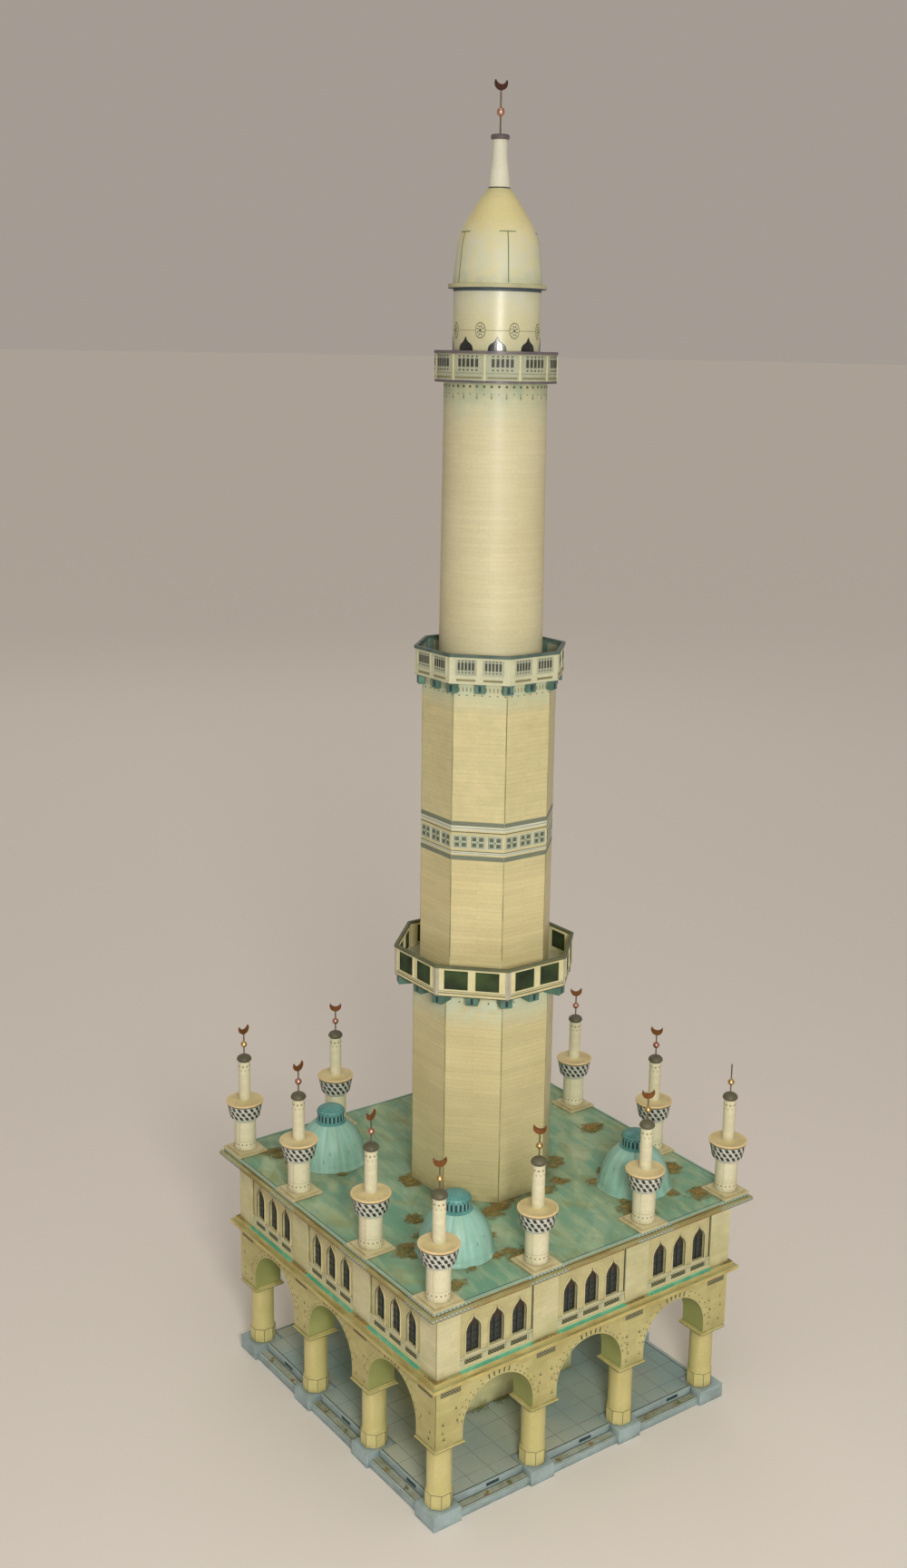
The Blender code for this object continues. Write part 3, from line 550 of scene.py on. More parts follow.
def placeEach(bm, finishes, name, node, spots, slot):
    # The same shape in several places, each standing for its own node
    first = None
    for number, at in enumerate(spots, start=1):
        called, stands = "%s%d" % (name, number), "%s_%d" % (node, number)
        if first:
            placePiece(called, first.data, stands, slot, at=at)
        else:
            first = finishPiece(called, bm, finishes, stands, True, slot=slot, at=at)


def ringPlaces(line, inner):
    # Twelve places around the hall, from the front left corner
    steps = (-line, -inner, inner)
    spots = [spun(turn) @ Vector((step, -line, 0)) for turn in sides.values() for step in steps]
    return [(spot.x, spot.y) for spot in spots]


# base, steps and floor

# Rows of printed marks, here and below, are low, high, bottom, top, thickness, surface
base = {
    "stepTop": 2.4, "floorTop": 4.7, "floorHalf": 51.3, "core": 21.8,
    "flagLines": (4.3, 13.0, 21.6, 29.6, 37.5, 45.5, 51.0), "flagGap": 0.22, "flagLow": 4.65,
    "flagHigh": 4.77, "pedestals": (50.3, 16.765), "pedestalHalf": 4.5,
    "slots": [(middle - 2.3, middle + 2.3, 3.35, 4.35, 0.06, 0) for middle in (-32.0, 2.6, 38.0)],
    "kerbRuns": ((-45.7, -21.4), (-12.2, 12.2), (21.4, 45.7)),
    "riserLines": ((2.42, 2.62, 0.05, 0),),
    "floorLines": ((50.45, 50.75, 0.09, 0), (50.84, 51.18, 0.1, 1)),
    "treadLines": ((53.85, 54.3, 0.06, 1), (53.6, 53.75, 0.05, 0)),
}


def cutFlags(flags, left0, near0, right0, far0):
    # Flags keep clear of a pedestal: each is split round the square that it would cover
    kept = []
    for x0, y0, x1, y1 in flags:
        if x1 <= left0 or x0 >= right0 or y1 <= near0 or y0 >= far0:
            kept.append((x0, y0, x1, y1))
            continue
        low, high = max(y0, near0), min(y1, far0)
        parts = [(x0, y0, x1, near0), (x0, far0, x1, y1), (x0, low, left0, high), (right0, low, x1, high)]
        kept += [part for part in parts if part[2] - part[0] > 0.25 and part[3] - part[1] > 0.25]
    return kept


def buildBase():
    bm = copyNode("plinth", lambda normal, middle: normal.z > 0.9 and abs(middle.z - base["stepTop"]) < 0.1)
    finishPiece("steppedPlinth", bm, "stoneBlue treadCard", "plinth", slot="blue_card", bevel=0.18)
    bm = copyNode("hall_floor", lambda normal, middle: normal.z > 0.9)
    finishPiece("floorSlab", bm, "stoneBlue flagJoint", "hall_floor", slot="blue_card", bevel=0.1)

    bm = bmesh.new()
    lines = [-line for line in base["flagLines"][::-1]] + list(base["flagLines"])
    runs = list(zip(lines, lines[1:]))
    gap, half = base["flagGap"] / 2, base["pedestalHalf"]
    flags = [(x0 + gap, y0 + gap, x1 - gap, y1 - gap) for x0, x1 in runs for y0, y1 in runs
             if max(abs(x0), abs(x1), abs(y0), abs(y1)) > base["core"]]
    for x, y in ringPlaces(*base["pedestals"]):
        flags = cutFlags(flags, x - half, y - half, x + half, y + half)
    for x0, y0, x1, y1 in flags:
        addBlock(bm, (x0, y0, base["flagLow"]), (x1, y1, base["flagHigh"]))
    finishPiece("flagstones", bm, "flagCard", slot="blue_card", bevel=0.05)

    bm = bmesh.new()
    for turn in sides.values():
        riser = onWall(turn, base["floorHalf"])
        addMarks(bm, riser, base["slots"])
        for point, lines in ((riser, "riserLines"), (onTop(turn, base["floorTop"]), "floorLines"),
                             (onTop(turn, base["stepTop"]), "treadLines")):
            addMarks(bm, point, [(*run, *line) for run in base["kerbRuns"] for line in base[lines]])
    finishPiece("kerbSlots", bm, "inkTeal kerbPale", slot="blue_card")


# columns

columns = {
    "count": 48, "shaft": 3.6, "places": (50.3, 16.77), "flareLow": 23.4, "flareHigh": 24.75,
    "flareSteps": 5, "band": 3.75, "lip": 5.1,
    # Corners of the outline, its reach and height, and its share from the round shaft, 0, to that outline, 1
    "foot": ((8, 3.75, 4.8, 1), (8, 3.75, 9.4, 1), (8, 3.75, 9.6, 0), (8, 3.75, 23.4, 0)),
    "head": ((4, 5.1, 25.3, 1), (4, 4.5, 25.55, 1), (4, 4.5, 26.0, 1)),
    "footMarks": ((-1.553, 1.553, 9.22, 9.38, 0.03, 1), (1.393, 1.553, 4.9, 9.2, 0.03, 1)),
    "lipMarks": ((-4.9, 4.9, 24.73, 24.87, 0.03, 1),),
}


def columnRing(bm, corners, size, height, share):
    ring, sector = [], 360 / corners
    for k in range(columns["count"]):
        turn = 360 * k / columns["count"]
        outline = size / math.cos(math.radians((turn + sector / 2) % sector - sector / 2))
        reach = columns["shaft"] + (outline - columns["shaft"]) * share
        ring.append(bm.verts.new(spun(turn) @ Vector((reach, 0, height))))
    return ring


def buildColumns():
    bm = bmesh.new()
    rings = [columnRing(bm, *row) for row in columns["foot"]]
    for k in range(1, columns["flareSteps"] + 1):
        # The flare turns the round shaft into the square impost
        share = k / columns["flareSteps"]
        height = columns["flareLow"] + (columns["flareHigh"] - columns["flareLow"]) * share ** 0.7
        rings.append(columnRing(bm, 4, columns["lip"], height, share ** 1.3))
    rings += [columnRing(bm, *row) for row in columns["head"]]
    addSkin(bm, rings, [0] * len(rings))
    for turn in eighths:
        addMarks(bm, onWall(turn, columns["band"]), columns["footMarks"])
    for turn in sides.values():
        addMarks(bm, onWall(turn, columns["lip"]), columns["lipMarks"])
    placeEach(bm, "columnCard inkDark", "columnCard", "column", ringPlaces(*columns["places"]),
              "yellow_card")


# arcades

arcade = {
    "face": 55.3, "thick": 9.2, "spring": 29.1, "bottom": 26.1, "top": 45.0, "radius": 12.37, "bay": 33.53,
    "steps": 44, "friezeHalf": 3.4, "friezeLow": 41.8, "friezeHigh": 43.9,
    "markHeights": (27.8, 30.4, 33.0, 36.0), "markAside": 2.2,
    "keys": 5, "keyReach": 13.62, "ticks": 19, "tickRings": ((13.07, 0.7), (14.47, 0.5)),
}
arcade["centres"] = (-arcade["bay"], 0.0, arcade["bay"])


def onArch(centre, reach, angle):
    return centre + reach * math.cos(angle), arcade["spring"] + reach * math.sin(angle)


def buildArcade(side, turn):
    size = arcade
    end, bottom = size["face"] - 0.1, size["bottom"]
    points = [(-end, bottom)]
    for centre in size["centres"]:
        points.append((centre - size["radius"], bottom))
        angles = [math.pi * (1 - k / size["steps"]) for k in range(size["steps"] + 1)]
        points += [onArch(centre, size["radius"], angle) for angle in angles]
        points.append((centre + size["radius"], bottom))
    points += [(end, bottom), (end, size["top"]), (-end, size["top"])]
    bm = bmesh.new()
    wall = onWall(turn, size["face"])
    outer, inner = [], []
    for x, z in points:
        # The arcades meet in mitres at the hall's corners
        reach = abs(x) - size["thick"] if abs(x) > size["face"] - 0.2 else abs(x)
        outer.append(bm.verts.new(wall(x, z, 0)))
        inner.append(bm.verts.new(wall(math.copysign(reach, x), z, -size["thick"])))
    bm.faces.new(outer)
    bm.faces.new(inner[::-1])
    for i in range(len(outer)):
        j = (i + 1) % len(outer)
        bm.faces.new((outer[j], outer[i], inner[i], inner[j])).material_index = int(i < len(outer) - 3)
    finishPiece(side + "ArcadeCard", bm, "pierCard soffitCard", "arcade_" + side, bevel=0.12)


def buildArcadePrint(side, turn):
    # Printed marks on an arcade's outer face
    size = arcade
    chance = random.Random(turn + 5)
    bm = bmesh.new()
    wall = onWall(turn, size["face"])
    limit = size["face"] - 0.15
    for place in (-1.5, -0.5, 0.5, 1.5):
        middle = place * size["bay"]
        low, high = max(middle - size["friezeHalf"], -limit), min(middle + size["friezeHalf"], limit)
        addMarks(bm, wall, ((low, high, size["friezeLow"], size["friezeHigh"], 0.08, 0),
                            (low, high, size["friezeLow"] - 0.16, size["friezeLow"], 0.1, 1)))
        for height in size["markHeights"]:
            for aside in (-size["markAside"], size["markAside"]):
                x, z = middle + aside + chance.uniform(-0.4, 0.4), height + chance.uniform(-0.5, 0.5)
                if abs(middle + aside) > size["face"] - 1.2 or chance.random() < 0.3:
                    continue
                wide = chance.uniform(0.2, 0.42)
                addMarks(bm, wall, ((-wide, wide, z, z + 0.4, 0.05, 1 + chance.randrange(2)),
                                    (-0.25, 0.2, z + 0.7, z + 0.9, 0.05, 2)), at=x)
    for centre in size["centres"]:
        for k in range(size["keys"]):
            angle = math.radians(90 + (k - 2) * 7.5)
            addPatch(bm, tilted(*onArch(centre, size["keyReach"], angle), 1.5, 0.42, angle), wall, 0.06, 1)
        for k in range(size["ticks"]):
            angle = math.radians(12 + k * 156 / (size["ticks"] - 1))
            for reach, length in size["tickRings"]:
                if abs(math.degrees(angle) - 90) < 20 or chance.random() < 0.25:
                    continue
                spot = onArch(centre, reach, angle)
                addPatch(bm, tilted(*spot, length, 0.36, angle + math.pi / 2), wall, 0.04, 2)
    finishPiece(side + "ArcadePrint", bm, "friezeLattice inkDark railOlive")


# ledge, upper walls and windows

storey = {
    "wall": 55.3, "bayPlane": 54.7, "glassPlane": 53.9, "ledgeTop": 47.4, "bays": (-34.5, 0.0, 34.5),
    "pitch": 8.0, "half": 2.45, "sill": 51.8, "spring": 58.8, "tip": 62.8,
    # The window head: shares of the half width and of the rise
    "head": ((1.0, 0.0), (0.97, 0.12), (0.9, 0.26), (0.76, 0.43), (0.58, 0.57), (0.38, 0.68), (0.2, 0.78),
             (0.08, 0.9), (0.0, 1.0)),
    "bars": ((-0.16, 0.16, 51.8, 59.7, 0.3, 2), (-2.4, 2.4, 53.6, 53.72, 0.2, 2),
             (-2.4, 2.4, 55.6, 55.72, 0.2, 2), (-2.4, 2.4, 57.6, 57.72, 0.2, 2)),
    "sills": ((-2.8, 2.8, 51.46, 51.78, 0.42, 4),),
    "apron": ((-2.95, 2.95, 48.75, 50.45, 0.12, 2),),
    "apronFrame": (-3.15, 3.15, 48.62, 50.6, 0.18, 0.26, 1),
    "bayMarks": ((-12.75, 12.75, 50.9, 51.4, 0.45, 0), (-12.75, 12.75, 50.62, 50.84, 0.2, 4),
                 (-12.75, 12.75, 48.3, 48.62, 0.4, 1), (-12.7, -11.3, 48.62, 50.62, 0.36, 0),
                 (-4.7, -3.3, 48.62, 50.62, 0.36, 0), (3.3, 4.7, 48.62, 50.62, 0.36, 0),
                 (11.3, 12.7, 48.62, 50.62, 0.36, 0), (12.46, 12.78, 51.5, 66.4, 0.1, 3),
                 (-12.78, -12.6, 51.5, 66.4, 0.08, 4), (-12.78, 12.78, 66.2, 66.5, 0.12, 4)),
    "ledgeMarks": ((-12.8, 12.8, 55.34, 56.38, 0.06, 5),),
    "footMarks": ((-12.8, 12.8, 47.45, 48.02, 0.1, 5), (-12.8, 12.8, 48.04, 48.22, 0.14, 1)),
    # The brown line last in wallMarks, just under the ledge's lip, is a painted shadow
    "wallMarks": ((-55.0, 55.0, 67.9, 68.25, 0.3, 1), (-55.0, 55.0, 67.5, 67.66, 0.1, 4),
                  (-55.4, 55.4, 44.72, 44.98, 0.14, 6)),
}


def windowRows(grow=0.0):
    # Rows of (height, half width) up a window, widened by grow
    rise = storey["tip"] - storey["spring"]
    return [(storey["sill"] - grow, storey["half"] + grow)] + [
        (storey["spring"] + rise * up + grow * up * 1.6, storey["half"] * across + grow)
        for across, up in storey["head"]]


def addWindow(bm, middle, plane, glass):
    rows, thin, wide = windowRows(), windowRows(0.13), windowRows(0.34)
    shape = [(z, middle - half - 0.02, middle + max(half, 0.02)) for z, half in rows]
    addPatch(bm, spans(shape), glass, 0.05, 0)
    heads = [(z, max(half, 0.04)) for z, half in rows[2:]]
    addPatch(bm, spans([(z, middle - half, middle + half) for z, half in heads]), glass, 0.14, 1)
    addMarks(bm, glass, storey["bars"], middle)
    for reverse in (-1, 1):
        # Dark outline against the opening, then the raised card edge around it
        for inside, outside, thick, index in ((rows, thin, 0.16, 3), (thin, wide, 0.3, 4)):
            strip = [[(middle + reverse * a, z), (middle + reverse * b, y)]
                     for (z, a), (y, b) in zip(inside, outside)]
            addPatch(bm, strip, plane, thick, index)
    addMarks(bm, plane, storey["sills"], middle)


def buildStorey(side, turn):
    size = storey
    outward = onWall(turn, 1.0)(0, 0, 0)
    bm = copyNode("wall_" + side, lambda normal, middle: abs(normal.dot(outward)) > 0.9
                  and 54.2 < middle.xy.dot(outward.xy) < 55.0)
    finishPiece(side + "WallCard", bm, "creamCard bayCream", "wall_" + side, bevel=0.08)

    windows, trim = bmesh.new(), bmesh.new()
    wall, plane = onWall(turn, size["wall"]), onWall(turn, size["bayPlane"])
    for bay in size["bays"]:
        addMarks(trim, plane, size["bayMarks"], bay)
        addMarks(trim, onTop(turn, size["ledgeTop"]), size["ledgeMarks"], bay)
        addMarks(trim, wall, size["footMarks"], bay)
        for step in (-1, 0, 1):
            middle = bay + step * size["pitch"]
            addWindow(windows, middle, plane, onWall(turn, size["glassPlane"]))
            addMarks(trim, plane, size["apron"], middle)
            addFrame(trim, plane, *size["apronFrame"], middle)
    addMarks(trim, wall, size["wallMarks"])
    finishPiece(side + "Windows", windows, "glassDark headBrown glassBar inkDark frameCream")
    finishPiece(side + "StoreyTrim", trim,
                "sillCream frameCream apronLattice inkTeal inkDark ledgeAqua inkBrown")


def buildLedge():
    bm = copyNode("ledge", lambda normal, middle: 1 if normal.z > 0.9
                  else 2 * (normal.z < -0.9 or max(abs(middle.x), abs(middle.y)) < 30))
    finishPiece("ledgeCard", bm, "lipYellow ledgeTop soffitCard", "ledge", bevel=0.2)


# roof

roof = {
    "turrets": (-53.8, -20.1, 20.1, 53.8), "edge": 59.92, "plateHalf": 7.0,
    "planes": {"step": (onWall, 58.8), "top": (onTop, 71.1), "lip": (onWall, 59.93)},
    "step": ((-58.6, 58.6, 70.05, 70.3, 0.05, 0), (-58.7, 58.7, 70.85, 71.05, 0.07, 1)),
    "top": ((-58.2, 58.2, 58.2, 58.6, 0.05, 1), (-57.6, 57.6, 57.75, 57.95, 0.04, 0)),
    "lip": ((-59.8, 59.8, 69.0, 69.16, 0.04, 2),),
    # Zigzag plates under the turrets: plane, farthest reach, bottom, top, thickness
    "plates": (("step", 58.6, 70.32, 70.83, 0.09), ("lip", 59.8, 69.22, 69.92, 0.06)),
}


def buildRoof():
    bm = copyNode("roof", lambda normal, middle: 1 if normal.z > 0.9 and middle.z > 71
                  else 2 if abs(normal.z) < 0.1 else 3 * (normal.z < -0.9))
    for vert in bm.verts:
        # The lip's print needs the last hair's breadth
        for axis in (0, 1):
            vert.co[axis] = max(-roof["edge"], min(roof["edge"], vert.co[axis]))
    finishPiece("roofCard", bm, "ledgeTop roofWash roofLip soffitCard", "roof", slot="aqua_card", bevel=0.15)

    bm = bmesh.new()
    for turn in sides.values():
        planes = {name: kind(turn, out) for name, (kind, out) in roof["planes"].items()}
        for name, plane in planes.items():
            addMarks(bm, plane, roof[name])
        for name, reach, bottom, top, thick in roof["plates"]:
            for middle in roof["turrets"]:
                low, high = max(middle - roof["plateHalf"], -reach), min(middle + roof["plateHalf"], reach)
                addMarks(bm, planes[name], [(low, high, bottom, top, thick, 3)])
    finishPiece("roofTrim", bm, "inkDark roofLine inkBrown zigzagBlue", slot="aqua_card")


# turrets

turrets = {
    "places": (53.8, 20.1), "count": 36, "bare": 4, "bareTop": 112.95, "wireTop": 110.9,
    "plinth": ((5.2, 71.2, 71.7), (4.3, 71.7, 72.3)),
    "profile": bands(
        (1, 3.4, 72.2, 3.4, 81.9), (4, 3.55, 82.05, 4.1, 82.5, 4.52, 82.95), (2, 4.6, 83.05, 5.5, 87.5),
        # The dark band just under the disc's rim is a painted shadow line
        (3, 5.55, 87.6, 5.6, 87.8), (5, 5.8, 87.98, 5.88, 88.08, 5.88, 88.36, 5.8, 88.48, 5.4, 88.54),
        # The disc's top inside its rim, darker than the rim, is painted shade
        (11, 5.3, 88.5, 2.5, 88.68, 1.85, 88.85), (6, 1.85, 101.65), (3, 1.92, 101.72, 1.95, 101.95),
        (7, 2.2, 102.0, 2.3, 102.12, 2.3, 102.4, 2.18, 102.8, 1.9, 103.18, 1.4, 103.52,
         0.8, 103.72, 0.24, 103.8), (8, 0.22, 103.85, 0.22, 106.2),
        (9, 0.62, 106.45, 0.92, 106.8, 1.04, 107.2, 0.92, 107.6, 0.62, 107.95, 0.22, 108.2)),
    # Bottom, top and shift of the rows of slanted cells in the balcony's pierced band
    "cells": 17, "cellRows": ((83.25, 84.4, 0.0), (84.7, 85.85, 0.4), (86.15, 87.35, 0.8)),
    # Radius, number around, first turn and the mark itself
    "marks": ((3.4, 16, 0, (-0.2, 0.2, 74.0, 74.4, 0.04, 10)),
              (3.4, 24, 0, (-0.44, 0.44, 75.3, 75.4, 0.03, 12)),
              (1.85, 9, 0, (-0.24, 0.24, 100.0, 100.45, 0.04, 10)),
              (1.85, 9, 20, (-0.13, 0.13, 98.7, 98.95, 0.04, 10)),
              (3.4, 1, 300, (-0.06, 0.06, 72.4, 81.8, 0.03, 12))),
    "finishes": "plinthPeach drumCream ringPattern ringDark flarePale discPeach drumCream capOlive wireGrey "
                "brass railOlive discInner seamSoft",
    "crescent": (110.6, 1.9, 0.6), "turn": -37, "twist": (14, -8, 10, 0, -16, 12, -6, 8, 4, 48, 52, 58),
    "rosy": (5, 6, 8, 9, 11, 12),
    "rosyBead": bands((1, 0.3, 106.2, 0.66, 106.41, 0.96, 106.78, 1.08, 107.2, 0.96, 107.62, 0.66, 107.99,
                       0.3, 108.2)),
}


def addCrescent(bm, foot, radius, thick, turn=0, index=0):
    steps = 18
    centre, inner, lift = foot + radius, 0.95 * radius, 0.78 * radius
    grid = []
    for k in range(steps + 1):
        angle, bite = math.radians(155 + 230 * k / steps), math.radians(204 + 132 * k / steps)
        outside = (radius * math.cos(angle), centre + radius * math.sin(angle))
        inside = (inner * math.cos(bite), centre + lift + inner * math.sin(bite))
        if k in (0, steps):
            inside = (outside[0] * 0.97, outside[1] + 0.02)
        grid.append([outside, inside])
    addPatch(bm, grid, onWall(turn, 0.0), thick / 2, index, thick / 2)


def addTurretBody(bm, bare):
    size = turrets
    for half, low, high in size["plinth"]:
        addBlock(bm, (-half, -half, low), (half, half, high))
    top = size["bareTop"] if bare else size["wireTop"]
    addLathe(bm, size["profile"] + [(0.22, top, 8), (0.1, top + 0.04, 8)], size["count"])
    for k in range(size["cells"]):
        for low, high, shift in size["cellRows"]:
            band = onRound(lambda z: 4.6 + (z - 83.05) * 0.2, 360 * (k + shift) / size["cells"])
            lean = (high - low) / 4
            rows = [(low, lean - 0.46, lean + 0.46), (high, -lean - 0.46, 0.46 - lean)]
            addPatch(bm, spans(rows, 2), band, 0.05, 3)
    for radius, count, turn, mark in size["marks"]:
        for k in range(count):
            addMarks(bm, onRound(radius, turn + 360 * k / count), [mark])


def buildTurrets():
    size = turrets
    bodies, horns = {}, {}
    for number, at in enumerate(ringPlaces(*size["places"]), start=1):
        name, node, bare = "turretCard%d" % number, "turret_%d" % number, number == size["bare"]
        if bare in bodies:
            placePiece(name, bodies[bare].data, node, at=at)
        else:
            bm = bmesh.new()
            addTurretBody(bm, bare)
            bodies[bare] = finishPiece(name, bm, size["finishes"], node, True, at=at)
        if bare:
            continue
        # Each crescent was glued on by hand and faces its own way, and some beads are of a darker rosy metal
        name, rosy = "crescent%d" % number, number in size["rosy"]
        turn = size["turn"] + size["twist"][number - 1]
        if rosy in horns:
            placePiece(name, horns[rosy].data, at=at, turn=turn)
            continue
        bm = bmesh.new()
        addCrescent(bm, *size["crescent"])
        if rosy:
            addLathe(bm, size["rosyBead"], 28)
        horns[rosy] = finishPiece(name, bm, "copper rosyMetal", smooth=rosy, at=at, turn=turn)


# domes on the roof

roofDome = {
    "places": ((-34.0, -34.0), (34.0, -34.0), (34.0, 34.0), (-34.0, 34.0)),
    "count": 56, "slits": 20, "cap": 4.15,
    "flank": bands((0, 11.9, 71.2, 11.65, 71.35, 11.2, 71.8, 11.0, 72.6, 10.8, 73.6, 10.3, 75.8, 9.95, 76.9,
                    9.55, 77.9, 9.1, 78.9, 8.55, 79.9, 7.95, 80.8, 7.25, 81.7, 6.55, 82.4, 4.95, 83.7)),
    "crown": bands((1, 4.55, 83.95, 4.5, 84.3, 4.15, 84.4, 4.15, 86.6, 4.38, 86.75, 4.4, 87.1, 4.15, 87.7,
                    3.6, 88.15, 2.6, 88.5, 1.3, 88.7, 0.2, 88.78)),
    "slitMarks": ((-0.34, 0.34, 84.5, 86.5, 0.05, 2), (-0.6, -0.4, 84.45, 86.6, 0.07, 3)),
    "crownMarks": ((-0.26, 0.26, 87.15, 88.05, 0.05, 2),), "ticks": 14,
}


def buildRoofDomes():
    size = roofDome
    bm = bmesh.new()
    addLathe(bm, size["flank"] + size["crown"], size["count"])
    crown, flank = reachOf(size["crown"][5:8]), reachOf(size["flank"][1:])
    for k in range(size["slits"]):
        turn = 360 * k / size["slits"]
        addMarks(bm, onRound(size["cap"], turn), size["slitMarks"])
        addMarks(bm, onRound(crown, turn + 9), size["crownMarks"], columns=3, sink=0.1)
    chance = random.Random(12)
    for k in range(size["ticks"]):
        # Short dark ticks down the flank
        low = chance.uniform(73.5, 79.0)
        point = onRound(flank, 360 * k / size["ticks"] + chance.uniform(-9, 9))
        rows = [(low + i * 0.35, -0.05 - 0.03 * i, 0.06) for i in range(4)]
        addPatch(bm, spans(rows), point, 0.03, 4, 0.12)
    placeEach(bm, "domeAqua capTeal capSlit capLight domeStreak", "roofDomeCard", "roof_dome",
              size["places"], "aqua_card")


# tower shafts

shafts = {
    "cards": (("coreCard", "core", "coreCard"), ("lowerShaftCard", "lower_shaft", "shaftCard"),
              ("middleShaftCard", "middle_shaft", "middleShaftCard")),
    "lower": 20.4, "middle": 18.6, "upper": bands((0, 15.1, 229.9, 14.5, 312.2)), "rows": 10, "count": 96,
    "edges": (("lower", 71.4, 138.0), ("middle", 147.9, 177.7), ("middle", 189.5, 229.6)),
    "lowerMarks": ((-4.52, -4.08, 134.7, 135.15, 0.05, 0), (4.08, 4.52, 134.7, 135.15, 0.05, 0)),
    # On each place around, and only on every second one
    "middlePlaces": 14, "middleMarks": ((-0.15, 0.15, 227.4, 228.6, 0.04, 1),),
    "middleDots": ((-0.2, 0.2, 226.2, 226.5, 0.04, 0),),
    "upperPlaces": 44, "upperMarks": ((-0.32, 0.32, 311.1, 311.7, 0.05, 0),
                                      (-0.2, 0.2, 309.2, 309.5, 0.05, 1)),
    "upperTips": ((307.9, -0.04, 0.04), (308.4, -0.2, 0.2), (308.9, -0.2, 0.2)),
}
upperReach = reachOf(shafts["upper"])


def buildShafts():
    for name, node, finish in shafts["cards"]:
        finishPiece(name, copyNode(node), finish, node, bevel=0.12)
    low, high = (row[1] for row in shafts["upper"])
    heights = [low + (high - low) * k / shafts["rows"] for k in range(shafts["rows"] + 1)]
    bm = bmesh.new()
    addLathe(bm, [(upperReach(height), height, 0) for height in heights], shafts["count"])
    finishPiece("upperShaftCard", bm, "roundShaftCard", "upper_shaft", True)


def buildShaftEdges():
    # Folded edges of the eight-sided shafts, where the printed card has worn dark
    bm = bmesh.new()
    for body, bottom, top in shafts["edges"]:
        half = shafts[body] * eighthHalf
        marks = [(low, low + 0.13, bottom, top, 0.03, 0) for low in (0.02 - half, half - 0.15)]
        for turn in eighths:
            addMarks(bm, onWall(turn, shafts[body]), marks)
    finishPiece("shaftEdges", bm, "edgeLine")


tileBand = {
    "gap": 0.05, "steps": (-5.05, 0.0, 5.05), "middle": 183.375,
    # Bottom, top, thickness and surface
    "bands": ((188.1, 189.35, 0.08, 0), (186.8, 188.1, 0.05, 1), (186.1, 186.35, 0.06, 2),
              (180.4, 180.62, 0.06, 2), (179.65, 180.4, 0.05, 1), (177.85, 179.2, 0.08, 0),
              (187.35, 187.5, 0.07, 2), (179.95, 180.05, 0.07, 2)),
    "tile": ((-2.2, 2.2, 181.45, 185.3, 0.05, 3), (-1.62, -0.38, 181.955, 183.075, 0.1, 2),
             (-1.62, -0.38, 183.675, 184.795, 0.1, 2), (0.38, 1.62, 181.955, 183.075, 0.1, 2),
             (0.38, 1.62, 183.675, 184.795, 0.1, 2)),
    "frames": ((-2.3, 2.3, 181.35, 185.4, 0.22, 0.12, 1), (-1.98, 1.98, 181.59, 185.16, 0.1, 0.08, 2)),
}


def buildTileBand():
    size = tileBand
    half = shafts["middle"] * eighthHalf - size["gap"]
    bm = bmesh.new()
    for turn in eighths:
        wall = onWall(turn, shafts["middle"])
        addMarks(bm, wall, [(-half, half, *band) for band in size["bands"]])
        for middle in size["steps"]:
            addMarks(bm, wall, size["tile"], middle)
            for frame in size["frames"]:
                addFrame(bm, wall, *frame, middle)
            addPatch(bm, tilted(middle, size["middle"], 0.4, 0.4, math.pi / 4), wall, 0.14, 2)
    finishPiece("tileBand", bm, "tileBorder whiteStrip tileDark tileGround")


# galleries

